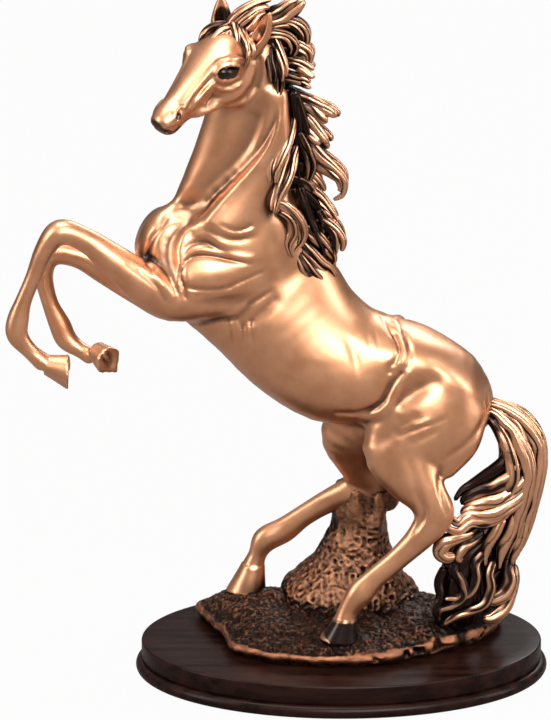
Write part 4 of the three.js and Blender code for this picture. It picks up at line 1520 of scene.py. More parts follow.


# in the hair tables, each lock's shade paints patina at its root and painted shade where it lies under
# other locks
FORELOCK: Sequence[Lock] = (
    lock((-55, -6, 333, 4, 4), (-54.5, -7, 341, 5, 4.5), (-50, -7, 346.5, 5, 4), (-43, -6, 350.5, 3.6, 3),
        (-35.5, -5, 352.8, 1.6, 1.4), strands=6, shade=(0.2, 0)),
    lock((-52, -10, 338, 4, 3), (-48, -11, 344, 4, 3), (-43.5, -10, 348, 3, 2.4),
        (-37, -9, 350, 1.3, 1.2), shade=(0.3, 0)),
    lock((-56, -8, 341, 4, 3), (-55, -12, 338, 3.6, 3), (-54.5, -16, 332, 3, 2.4),
        (-53.5, -19.5, 326.5, 2, 1.6), (-54, -21, 322, 1, 1), thin=(0.5, 0.8, 0.3), shade=(0.4, 0.1)),
    lock((-53, -10, 339, 4, 3), (-50.5, -15, 336, 3.4, 2.6), (-49.5, -18.5, 331, 2.6, 2),
        (-50.5, -20.5, 325, 1.6, 1.3), (-53, -21.5, 321.5, 0.9, 0.8), thin=(0.5, 0.8, 0.3),
        shade=(0.4, 0.1)),
    lock((-58, -6, 338, 3.4, 3), (-63, -6, 339, 3, 2.6), (-68, -6, 337.5, 2.6, 2.2),
        (-71.5, -8, 334.5, 2.2, 1.8), (-72, -9.5, 331, 1.5, 1.3), (-69.5, -10.5, 329.5, 0.9, 0.9),
        thin=(0, 0.9, 0.4), shade=(0.7, 0.4)),
    lock((-57, -9, 339, 3.2, 2.6), (-62, -12, 338, 3, 2.2), (-67, -15, 334, 2.2, 1.8),
        (-69, -17, 328.5, 1.3, 1.1), (-67, -19, 324, 0.7, 0.7), thin=(0.5, 0.8, 0.3), strands=4,
        shade=(0.45, 0.1)),
    lock((-56, -10, 339, 3, 2.4), (-59.5, -14, 336, 2.8, 2), (-62.5, -18, 330, 1.8, 1.5),
        (-62.5, -20, 324.5, 1, 0.9), (-60.5, -21, 321, 0.6, 0.6), thin=(0.5, 0.8, 0.3), strands=4,
        shade=(0.4, 0.1)),
    lock((-51, -13, 336, 3, 2.4), (-48.5, -17, 334, 2.6, 2), (-47, -20, 330.5, 2.2, 1.6),
        (-48.5, -21.5, 326.5, 1.3, 1.1), strands=4, thin=(0.3, 0.9, 0.2), shade=(0.2, 0)),
)  # fmt: skip

MANE_UPPER: Sequence[Lock] = (
    lock((-43, -5, 338, 4, 3), (-37, -5, 343.5, 4.6, 3), (-30.5, -4, 346.5, 5, 3),
        (-24.5, -4, 350, 4.2, 2.6), (-21.3, -4, 353.4, 2.6, 1.8), shade=(0.5, 0)),
    lock((-42, -5, 336, 4, 3.4), (-35, -5, 340, 4.4, 3.4), (-27, -4, 341, 4.2, 3),
        (-21.5, -3, 337.5, 3.6, 2.6), (-20, -3, 332, 2.8, 2.2), (-22.5, -4, 327.5, 1.3, 1.3),
        shade=(0.8, 0.35)),
    lock((-42, -8, 333, 3.6, 3), (-35, -9, 335.5, 3.6, 3), (-28.5, -8, 334, 3.4, 2.6),
        (-25, -7, 329, 2.6, 2), (-26.5, -7, 324.5, 1.2, 1.2), shade=(0.7, 0.2)),
    lock((-41, -6, 328, 3.6, 3), (-33, -5, 328, 4, 3), (-25, -3, 328.5, 4, 2.8),
        (-18.5, -2, 325.5, 3.4, 2.4), (-18, -2, 321, 2.2, 1.8), (-21, -3, 319, 1.2, 1.2),
        shade=(0.7, 0.1)),
    lock((-36, -6, 322, 3.6, 3), (-28, -4, 320.5, 3.8, 2.8), (-21, -2, 318.5, 3.8, 2.4),
        (-14.2, 0, 314.2, 2.2, 1.6), shade=(0.7, 0)),
    lock((-35, -7, 313.5, 3.4, 3), (-26, -5, 311, 3.6, 2.6), (-19, -3, 309, 3, 2.2),
        (-15.5, -2, 307, 1.6, 1.4), shade=(0.8, 0.2)),
    lock((-36, -9, 334, 2.6, 2.4), (-33, -12, 329, 2.6, 2.2), (-30.5, -15, 323, 2.2, 1.8),
        (-30, -17, 317, 1.5, 1.2), (-31, -18, 313, 0.7, 0.7), strands=4, shade=(0.4, 0)),
    lock((-39, -10, 330, 3, 2), (-37.5, -14, 323, 3, 1.8), (-36, -16, 316, 2.4, 1.5),
        (-35.5, -17, 310.5, 1, 0.9), strands=4, shade=(0.9, 0.6)),
    lock((-35, -10, 325, 3, 2), (-33, -13.5, 318, 2.8, 1.8), (-32.5, -15.5, 311, 2, 1.4),
        (-33, -16, 306, 0.9, 0.8), strands=4, shade=(0.9, 0.5)),
)  # fmt: skip

MANE_MIDDLE: Sequence[Lock] = (
    lock((-32, -6, 303.5, 4, 3), (-24, -5, 300.5, 4.4, 2.8), (-15, -3, 296, 4.6, 2.4),
        (-8, -1, 291.5, 4.4, 2.2), (-3.6, 0, 288.2, 3.8, 2), strands=6, twist=0.05, shade=(0.6, 0)),
    lock((-32, -6, 297.5, 4, 3), (-24.5, -5, 292, 4.6, 2.8), (-17, -3, 285, 4.6, 2.4),
        (-11, -1, 278.5, 4.2, 2.2), (-6.8, 0, 274, 3.4, 2), strands=6, twist=0.05, shade=(0.7, 0.1)),
    lock((-30, -6, 283, 5, 3.4), (-22, -4, 275.5, 6, 3), (-13, -2, 268, 5.6, 2.6), (-5, 0, 262.5, 4, 2.2),
        (-0.5, 1, 257, 3, 2), (-1, 1, 251, 2.4, 1.8), (-4, 1, 248.5, 1.4, 1.3), strands=7, twist=0.12,
        shade=(0.8, 0)),
    lock((-29, -7, 266, 4, 3), (-21, -5, 262.5, 4.4, 2.8), (-14, -3, 256, 3.6, 2.2),
        (-10.4, -2, 250, 1.8, 1.4), shade=(0.7, 0.1)),
    lock((-26, -7, 291, 3, 2.6), (-29, -12.5, 284.5, 4.2, 2.2), (-33, -17.5, 276, 4.8, 2),
        (-35.5, -20.5, 266.5, 4, 1.8), (-35.5, -22, 258, 2.2, 1.3), thin=(0.3, 0.9, 0.1), strands=7,
        twist=0.1, groove=0.3, shade=(0.2, 0)),
    lock((-25, -9, 277, 3, 2.4), (-28, -15, 268, 4, 2), (-31.5, -19.5, 258.5, 4, 1.9),
        (-34.5, -22, 249.5, 3, 1.6), (-35.8, -23, 243, 1.5, 1.1), thin=(0.3, 0.9, 0.1), strands=6,
        twist=0.1, groove=0.3, shade=(0.4, 0)),
    lock((-25, -6, 304, 3, 3), (-22, -6, 292, 3.4, 3), (-20.5, -5, 279, 4, 3), (-21, -5, 266, 4, 3),
        (-21, -5, 256, 3, 2.4), shade=(0.95, 0.9)),
    lock((-28, -4, 306, 3, 6), (-26, -4, 292, 3, 6), (-25.5, -3, 278, 3, 6.5), (-25, -3, 264, 3, 7),
        (-24, -3, 250, 3, 6), strands=6, shade=(1, 1)),
    lock((-24, -7, 283, 3, 2.4), (-19, -8, 273, 3.6, 2.2), (-16.5, -7, 264, 3, 2),
        (-18, -6, 255, 1.4, 1.2), shade=(0.8, 0.4)),
)  # fmt: skip

MANE_LOWER: Sequence[Lock] = (
    lock((-29, -8, 257.5, 4, 3), (-21, -5, 253, 4.6, 2.8), (-12, -3, 244.5, 4, 2.4),
        (-6, -1, 238.5, 2.4, 1.8), (-2.8, 0, 234.2, 1.1, 1), strands=6, shade=(0.8, 0.1)),
    lock((-24, -6, 249, 5, 4), (-16, -4, 242, 6, 4), (-10, -3, 233, 5, 3.4), (-9, -3, 224, 4, 3),
        (-12, -4, 216, 2, 1.8), strands=6, shade=(1, 0.8)),
    lock((-18, -5, 238, 4, 3), (-10, -3, 233.5, 4, 2.8), (-4, -1, 229, 3.6, 2.4),
        (-1.4, 0, 222.5, 3.2, 2.2), (-2.6, -1, 216, 2, 1.6), shade=(0.8, 0.1)),
    lock((-21, -9, 231, 3.6, 2.6), (-14, -9, 225.5, 4, 2.4), (-8, -7, 219, 3.4, 2.2),
        (-5, -5, 213, 2, 1.6), (-7, -5, 209.5, 1.1, 1), shade=(0.5, 0)),
    lock((-26, -11, 228, 3.4, 2.4), (-20.5, -13, 220.5, 4, 2.4), (-14, -12, 214, 4, 2.4),
        (-7.5, -9, 208.5, 3.2, 2), (-4.2, -7, 203.5, 1.8, 1.5), shade=(0.5, 0)),
    lock((-24, -14, 219, 3, 2), (-19, -15.5, 211, 3.4, 2), (-13, -13.5, 205, 2.8, 1.8),
        (-9, -11, 201, 1.4, 1.2), shade=(0.6, 0.1)),
    lock((-35.5, -21, 249, 2.4, 1.6), (-30, -21.5, 247, 3.2, 2), (-24.5, -21, 241, 3.6, 2.2),
        (-21, -19.5, 234, 3.2, 2), (-21.5, -19, 227.5, 2.2, 1.6), (-25, -20, 223, 1.1, 1),
        thin=(0.3, 0.9, 0.1), shade=(0.1, 0)),
    lock((-33.5, -21, 244, 2, 1.4), (-28, -21, 240, 3, 1.8), (-25.5, -20.5, 233, 3, 1.8),
        (-27.5, -20.5, 226, 2, 1.4), (-26, -20, 219.5, 1, 0.9), thin=(0.3, 0.9, 0.1), shade=(0.4, 0.1)),
    lock((-24, -5, 254, 4, 7), (-20, -4, 242, 4, 8), (-16, -4, 230, 4, 8), (-13, -4, 219, 4, 7.5),
        (-11, -4, 208, 3, 5), strands=7, shade=(1, 1)),
    lock((-13, -7, 241, 3, 2.4), (-8.5, -6, 232, 3.4, 2.2), (-9.5, -6, 224, 2.6, 2),
        (-13.5, -8, 219, 1.3, 1.2), shade=(0.8, 0.3)),
)  # fmt: skip

TAIL_PARTINGS = {
    "dock": ((76, -0.5, 129.5), (0.95, 0, -0.3)),
    "fall": ((0, 0, 109), (0, 0, -1)),
    "tip": ((0, 0, 61), (0, 0, -1)),
}
# painted shade in the tail's inner bend and between the hock curl and the blades: x, y, z, radius and
# strength
TAIL_PAINTED_SHADE: Sequence[Spot] = (
    (76, -6, 116, 9, 0.5), (80, -12, 105, 7, 0.5), (73, -13, 96, 9, 0.6), (64, -15, 90, 8, 0.5),
        (72, -19, 69, 7, 0.75),
    (66, -22, 73, 4, 0.4), (88, -13, 62, 4, 0.4),
)  # fmt: skip
# each lock's shade paints patina and painted shade; the tail's body and its low mass under the outer locks
# are darkened as painted shade
TAIL: Sequence[Lock] = (
    # the body of the tail, under its outer locks
    lock((71, 0, 131, 4.5, 4.5), (81.5, -1, 128, 6, 5.5), (90, -2, 121.5, 7.5, 7), (94, -3, 111, 9.5, 9),
        (92.5, -4, 99, 11, 10), (90, -4, 86, 11, 10.5), (87, -3, 73, 10.5, 10), (86, -1, 58, 8.5, 9),
        (84.5, 3, 44, 7, 8), (83, 6, 30, 6.5, 7), (80, 8, 14, 7, 7), strands=10, twist=0.04,
        shade=(0.35, 0.9), groove=0.15),
    # outer locks over the bend, near side
    lock((70, -2, 132, 3, 3), (80, -3, 130.5, 4, 3.5), (91, -5, 125, 5, 4), (99.5, -6.5, 115, 5, 4),
        (102.5, -7, 103, 5, 4), (101, -8, 91, 5, 4), (98.5, -8, 78, 4.6, 3.6), (96, -7, 66, 4, 3.2),
        (93, -6, 55, 3, 2.6), (90, -5, 47, 1.4, 1.3), strands=7, twist=0.06, groove=0.29,
        shade=(-0.08, 0.0)),
    lock((70, -3, 130, 3, 3), (79, -5, 127, 4, 3), (87, -8, 120, 4.6, 3.4), (93.5, -10.5, 110, 5, 3.6),
        (96.5, -12, 99, 5, 3.6), (95.5, -13, 87, 4.6, 3.4), (92.5, -13, 75, 4, 3.2),
        (90, -12, 64, 3.6, 2.8), (87.5, -10, 54, 2.4, 2), (86, -9, 47, 1.1, 1), strands=6, twist=0.08,
        groove=0.3, shade=(-0.05, 0.1)),
    lock((71, -3, 128, 2.4, 2.4), (78.5, -6, 123.5, 3.2, 2.6), (84, -9, 115.5, 4, 3),
        (88, -12, 105.5, 4.4, 3.2), (89, -14.5, 95, 4.4, 3), (86, -16, 85, 3.8, 2.8),
        (82, -16, 76, 3.2, 2.4), (79.5, -14.5, 67, 2.6, 2), (78.5, -13, 58, 1.2, 1.1), twist=0.1,
        groove=0.3, shade=(0.3, 0.35)),
    lock((80, 3, 130, 3, 3), (92, 4, 124, 4.5, 3.5), (100.5, 4, 113, 5, 4), (103, 4, 101, 5, 4),
        (100.5, 4, 87, 5, 4), (97.5, 5, 73, 4.4, 3.6), (94, 6, 60, 3.4, 3), (90.5, 7, 49, 1.6, 1.4),
        strands=6, twist=-0.06, groove=0.29, shade=(0.1, 0.2)),
    lock((76, 4, 128, 3, 3), (86, 7, 119, 4.5, 3.5), (93, 8, 107, 5, 4), (94.5, 9, 93, 5, 4),
        (91, 10, 79, 4.6, 3.6), (87.5, 11, 65, 3.6, 3), (85, 12, 52, 1.6, 1.4), strands=6, twist=-0.08,
        groove=0.29, shade=(0.15, 0.3)),
    lock((79, 3, 122, 2.4, 2.4), (84, 7, 112, 3.6, 3), (86, 9, 99, 4, 3.2), (83, 9, 86, 3.6, 3),
        (79.5, 8, 73, 3, 2.4), (78, 7, 60, 1.4, 1.3), twist=-0.1, groove=0.29, shade=(0.3, 0.5)),
    # sweeps from the bend towards the hock
    lock((92, -12, 104, 3, 3), (88, -14, 96, 4.2, 3), (80, -15.5, 91, 4.6, 3.2),
        (71.5, -17, 88.5, 4.2, 3), (65, -18.5, 85.5, 3.2, 2.6), (62, -19, 82, 1.6, 1.6), groove=0.3,
        shade=(0.35, 0.5)),
    lock((97, -11, 98, 3, 3), (92, -14, 90, 4, 3), (84, -17, 84.5, 4.4, 3), (75, -19, 83, 4, 2.8),
        (67, -20.5, 81, 3.2, 2.4), (61.5, -21.5, 78, 1.8, 1.6), groove=0.32, shade=(0.05, -0.1)),
    lock((96, -12, 88, 3, 3), (90, -16, 82, 4, 3), (82, -19, 78, 4, 2.8), (73.5, -21, 76.5, 3.4, 2.4),
        (66, -23, 77.5, 2.8, 2.2), (60, -25, 74.5, 2.6, 2), (55.5, -26.5, 79, 1.4, 1.3), groove=0.32,
        shade=(-0.05, -0.1)),
    lock((89, -14, 80, 3, 2.4), (82, -18, 74.5, 3.2, 2.4), (74, -21, 72.5, 3, 2.2),
        (67, -24, 73.5, 2.6, 2), (60.5, -27, 70, 2.4, 1.9), (54.5, -29, 73, 1.8, 1.5),
        (52, -30, 77.5, 0.9, 0.9), groove=0.32, shade=(0, -0.1)),
    lock((88, -9, 107, 3, 3), (82, -11, 100, 4, 3.4), (75, -12, 95, 4, 3.2), (68, -13, 91, 3, 2.8),
        (62.5, -15, 88.5, 2, 1.8), (58.5, -17, 83.5, 1.2, 1.2), groove=0.27, shade=(0.7, 0.6)),
    # blades of the main fall over the dark low mass
    lock((91, -12, 76, 3, 2.4), (88.5, -14, 67, 3.6, 2.6), (84.5, -15, 58, 3.4, 2.4),
        (82.5, -15, 50, 2, 1.6), (82, -14.5, 44, 0.9, 0.9), groove=0.32, shade=(-0.08, 0.0)),
    lock((84, -16, 74, 2.6, 2.2), (80.5, -18, 67, 3.2, 2.4), (76.5, -18.5, 60, 3, 2.2),
        (74.5, -18.5, 53, 2, 1.6), (75, -18, 47, 0.9, 0.9), strands=4, groove=0.32, shade=(-0.08, 0.0)),
    lock((95, -8, 70, 3, 2.4), (93.5, -10, 61, 3.4, 2.4), (90.5, -10.5, 52, 2.8, 2),
        (88.5, -10, 45, 1.2, 1.1), groove=0.32, shade=(-0.08, 0.0)),
    # the curl behind the hock
    lock((72, -17, 71, 2.4, 2), (66, -22, 67.5, 3, 2.6), (59.5, -26, 66.5, 3.8, 3.4),
        (53.5, -28, 64.5, 4.4, 3.8), (51, -28.5, 59.5, 4.2, 3.6), (54.5, -28, 56, 3.4, 3),
        (59.5, -27, 57, 2.2, 2.2), strands=7, groove=0.26, twist=0.25, shade=(0.2, -0.2)),
    lock((74, -16, 66, 2.4, 2), (68, -21, 63, 3, 2.6), (62.5, -24.5, 60.5, 3.6, 3),
        (60, -26, 55.5, 3, 2.6), (63, -25, 52.5, 1.8, 1.8), groove=0.27, twist=0.2, shade=(0.35, 0.1)),
    # the low dark mass and its waves
    lock((80, -7, 70, 5, 5), (72, -10, 62, 7.5, 7.5), (64.5, -12, 50, 10, 9.5), (62.5, -13, 38, 12, 11),
        (62, -13, 24, 13, 12), (62, -12, 10, 12.5, 12), strands=12, twist=0.12, groove=0.11,
        shade=(0.95, 0.95)),
    lock((84, 2, 46, 7, 7), (77, -3, 38, 8, 8), (68, -8, 30, 9, 8.5), (62, -11, 22, 9, 8.5), strands=8,
        twist=0.1, groove=0.14, shade=(0.9, 0.95)),
    lock((74, -18, 56, 2.6, 2), (69.5, -21.5, 50, 3, 2.2), (70, -23.5, 42.5, 3, 2.2),
        (67, -25, 35.5, 2.8, 2), (60, -26, 32.5, 2.4, 1.9), (53.5, -25.5, 31.5, 1.3, 1.2), strands=4,
        groove=0.27, shade=(0.75, 0.35)),
    lock((60, -22, 54, 2.4, 2), (58.5, -24, 47, 3, 2.2), (62.5, -25, 41, 3, 2.2), (63.5, -26, 34, 2.6, 2),
        (58, -27, 28.5, 2.2, 1.8), (52, -26.5, 26, 1.8, 1.5), (50.5, -25.5, 22, 0.9, 0.9), strands=4,
        groove=0.27, shade=(0.9, 0.5)),
    lock((79, -15, 50, 2.6, 2.2), (76.5, -18.5, 43, 3.2, 2.4), (77.5, -20, 35.5, 3.2, 2.4),
        (74.5, -22, 28, 3, 2.2), (67, -24.5, 24.5, 2.6, 2), (59, -26, 22, 2.2, 1.8),
        (53, -26, 17.5, 1.2, 1.1), groove=0.27, shade=(0.7, 0.3)),
    lock((54, -20, 48, 2.6, 2.4), (51, -21.5, 40, 3, 2.4), (52, -22.5, 32, 3, 2.4),
        (49.5, -24, 25, 2.6, 2), (51.5, -24.5, 18, 1.6, 1.4), strands=4, groove=0.26, shade=(0.9, 0.8)),
    # the last curls of the fall, at the right
    lock((88, -4, 50, 4, 3.4), (86.5, -7, 43, 4.6, 3.6), (88, -9, 36, 4.6, 3.6),
        (85.5, -11, 29.5, 4.4, 3.4), (79.5, -13, 26.5, 3.6, 2.8), (74.5, -14, 28, 2, 1.8), strands=6,
        groove=0.24, twist=0.2, shade=(0.9, -0.2)),
    lock((88, 0, 42, 4, 3.4), (89.5, -3, 35, 4, 3.4), (87.5, -6, 27, 4.4, 3.6), (84.5, -9, 20, 4.2, 3.4),
        (79, -12, 16, 3.4, 2.8), (73.5, -14, 16.5, 1.8, 1.6), strands=6, groove=0.24, twist=0.2,
        shade=(0.5, -0.2)),
    lock((84, 8, 48, 4, 3.4), (82, 11, 38, 4.6, 3.6), (84, 13, 28, 4.6, 3.6), (80, 14, 19, 4, 3.2),
        (74, 13, 14, 2.4, 2.2), strands=6, groove=0.24, twist=0.2, shade=(0.6, 0.5)),
    lock((70, -2, 58, 4, 3.4), (66, 0, 48, 4.6, 4), (64, 1, 36, 5, 4.4), (60, 2, 24, 5, 4.4),
        (58, 2, 13, 3.4, 3), strands=7, groove=0.22, twist=0.2, shade=(0.9, 0.9)),
)  # fmt: skip


# Ground, stump and plinth


@dataclass
class Ground:
    """The rocky ground, a crumbled slab with a worn, undercut rim."""

    rim: Sequence[Pair] = (
        (84, 14), (84, 30), (70, 42), (40, 46), (0, 45), (-35, 43), (-60, 44), (-76, 35), (-71, 12),
        (-62, -6), (-59, -24), (-44, -36), (-24, -43), (-1, -46), (20, -42), (41, -31), (59, -21), (77, -5),
    )  # fmt: skip
    rim_height: float = 5.5
    crown: float = 5.0
    mounds: Sequence[tuple[float, float, float, float]] = (
        (-48, 28, 8, 22), (6, 31, 6, 30), (62, -8, 5, 28), (0, -32, 4, 14), (80, 14, 5, 16),
        (30, -30, 3, 16), (55, -16, 4, 16),
    )  # fmt: skip
    gap: float = 0.3
    step: float = 0.62

    def outline(self) -> np.ndarray:
        """The rim as a closed chain of places."""
        ring = [self.rim[-1], *self.rim, *self.rim[:2]]
        return smooth_curve(ring, 10)[10:-11]

    def inside(self, x: np.ndarray, y: np.ndarray) -> np.ndarray:
        """Distance in from the rim at places on the plan; negative outside it."""
        chain = self.outline()
        best = np.full(x.shape, 1e9)
        within = np.zeros(x.shape, bool)
        for a, b in zip(chain, np.roll(chain, -1, axis=0)):
            span = b - a
            t = np.clip(((x - a[0]) * span[0] + (y - a[1]) * span[1]) / (span @ span), 0, 1)
            best = np.minimum(best, np.hypot(x - a[0] - t * span[0], y - a[1] - t * span[1]))
            crosses = (a[1] > y) != (b[1] > y)
            with np.errstate(divide="ignore", invalid="ignore"):
                within ^= crosses & (x < a[0] + (y - a[1]) * span[0] / span[1])
        return np.where(within, best, -best)

    def top(self, x: np.ndarray, y: np.ndarray, inset: np.ndarray) -> np.ndarray:
        """Height of the top before it is roughened."""
        share = np.clip(inset / 26, 0, 1)
        crown = self.crown * (1 - (1 - share) ** 2.2)
        mound = sum(h * np.exp(-((x - mx) ** 2 + (y - my) ** 2) / r**2) for mx, my, h, r in self.mounds)
        return self.rim_height + crown + mound * np.clip(inset / 12 + 0.15, 0, 1)

    def model(self, clay: Clay) -> None:
        """Fills the clay with the ground."""
        where, p = clay.window(((-90, -60, -4), (100, 60, 40)), 0)
        x, y, z = p[..., 0], p[..., 1], p[..., 2]
        plan = p[:, :, 0] * [1, 1, 0]
        wander = 1.1 * lattice_noise(plan, 9.0, 3) + 0.6 * lattice_noise(plan, 3.5, 4)
        inset = (self.inside(x[:, :, 0], y[:, :, 0]) + wander)[:, :, None]
        flat = p[:, :, :1] * [1, 1, 0]
        top = self.top(x[:, :, :1], y[:, :, :1], inset)
        inner = np.clip((inset - 1.0) / 3.0, 0, 1)
        coarse = 1.5 * lattice_noise(flat, 11.0, 5) + 0.9 * lattice_noise(flat, 5.0, 6)
        crumbs = np.abs(lattice_noise(flat, 2.0, 7)) * 1.1 + np.abs(lattice_noise(flat, 1.2, 8)) * 1.0
        top = top + inner * (coarse - crumbs + 0.8) + 0.7 * np.exp(-(((inset - 1.2) / 1.1) ** 2))
        undercut = 3.2 * np.clip(1 - z / 5.0, 0, 1) ** 1.3
        wall = undercut - inset + 0.5 * lattice_noise(p * [1, 1, 1.4], 4.0, 9)
        pits = np.maximum(lattice_noise(p, 4.2, 10) - 0.28, 0) * 6.0 * (x > 12)
        wall = wall + pits * np.clip((z - 1.5) / 2, 0, 1)
        roof = (z - top) * 0.8
        corner = np.maximum(wall, roof)
        near = np.maximum(1.6 - np.abs(wall - roof), 0) / 1.6
        form = corner + near * near * 0.4
        form = np.maximum(form, self.gap - z)
        clay.merge(where, form.astype(np.float32), 0.0)

    def build(self, bronze: Material, cavities: Cavities) -> None:
        """Casts the ground and hands it over."""
        clay = Clay((-86, -58, -1), (94, 58, 26), coarser(self.step))
        self.model(clay)
        made = cast_piece(clay, "rock_ground_cast")
        mark_hollows(made, 4, 0.9)
        # patina and painted shade where the statue closes the ground in
        cavities.darken_patina_and_shade(made, short=0.1, long=0.25)
        self.lighten_rim(made)
        finish_piece(made, bronze, ["rock_ground"])

    def lighten_rim(self, made: Object) -> None:
        """Lightens the surface in patches along the rim's top edge by lowering the hollow mark, and a
        little on the wall below.
        """
        places = vertex_places(made.data)
        inset = self.inside(places[:, 0], places[:, 1])
        patchy = np.clip(0.75 + 0.9 * lattice_noise(places, 7.0, 31), 0, 1.4)
        edge = np.exp(-(((inset - 0.8) / 1.3) ** 2)) * np.clip((places[:, 2] - 3.0) / 1.5, 0, 1)
        wall = np.clip(0.4 - inset, 0, 1) * np.clip(1.2 - places[:, 2] / 6.0, 0, 1)
        add_to_hollow_mark(made.data, [-(0.62 * edge * patchy + 0.16 * wall)])


def cast_piece(clay: Clay, name: str) -> Object:
    """Casts a block of clay as one smooth-shaded piece."""
    cast = clay.to_bmesh()
    bmesh.ops.delete(cast, geom=loose_scraps(cast), context="VERTS")
    for f in cast.faces:
        f.smooth = True
    return new_piece(cast, name)


def loose_scraps(cast: BMesh) -> list[BMVert]:
    """The vertices of every island of a mesh but the largest."""
    island = np.full(len(cast.verts), -1)
    sizes = []
    cast.verts.index_update()
    for seed in cast.verts:
        if island[seed.index] >= 0:
            continue
        stack = [seed]
        island[seed.index] = len(sizes)
        size = 0
        while stack:
            vert = stack.pop()
            size += 1
            for edge in vert.link_edges:
                other = edge.other_vert(vert)
                if island[other.index] < 0:
                    island[other.index] = len(sizes)
                    stack.append(other)
        sizes.append(size)
    keep = int(np.argmax(sizes))
    return [v for v in cast.verts if island[v.index] != keep]


@dataclass
class Stump:
    """The broken tree stump that carries the horse's belly and its far hind leg."""

    stations: Sequence[Station] = (
        (10, 31, 72, 11, 14), (9.5, 31, 62, 11.5, 14), (9, 31, 50, 12.5, 15), (7.5, 31, 38, 15.5, 18),
            (6, 31, 26, 20, 24.5),
        (5, 31, 16, 26, 32), (4, 31, 8, 30, 38),
    )  # fmt: skip
    step: float = 0.62
    buried: float = 9.5  # height at which the stump ends, inside the ground

    def build(self, bronze: Material, cavities: Cavities) -> None:
        """Casts the stump and hands it over."""
        clay = Clay((-44, -4, 7), (56, 62, 86), coarser(self.step))
        clay.tube(self.stations, 1)
        clay.lump((24.5, 26, 69), (8, 5, 6.5), (0.3, 0, 1), 4)
        clay.lump((19, 21, 60), (12, 3, 4), (0.2, 0, 1), 4)
        for angle in (0.2, 1.3, 2.4, 3.5, 4.6, 5.5):
            foot = (7 + 30 * math.cos(angle), 31 + 24 * math.sin(angle), 12)
            clay.tube([(8, 31, 44, 8, 9), (7 + 16 * math.cos(angle), 31 + 13 * math.sin(angle), 24, 6,
                6), (*foot, 4, 4)], 6)
        clay.displace(self.bark)
        where, p = clay.window(((-44, -4, 7), (56, 62, 86)), 0)
        clay.distance[where] = np.maximum(clay.distance[where], self.buried - p[..., 2])
        made = cast_piece(clay, "tree_stump_cast")
        mark_hollows(made, 4, 0.8)
        # patina and painted shade where the statue closes the stump in
        cavities.darken_patina_and_shade(made, short=0.1, long=0.2)
        finish_piece(made, bronze, ["tree_stump"])

    @staticmethod
    def bark(p: np.ndarray) -> np.ndarray:
        """How far the bark stands proud at each place: streaks above, crumbs below."""
        streaks = 0.7 * lattice_noise(p * [1, 1, 0.25], 4.0, 21) + 0.35 * lattice_noise(p * [1, 1, 0.3],
            2.0, 22)
        crumbs = 0.9 - 1.3 * np.abs(lattice_noise(p, 3.0, 23)) - 0.8 * np.abs(lattice_noise(p, 1.6, 24))
        coarse = 1.2 * lattice_noise(p, 9.0, 25)
        low = np.clip((62 - p[:, 2] + 8 * lattice_noise(p, 12.0, 26)) / 14, 0, 1)
        return coarse + (1 - low) * streaks + low * crumbs


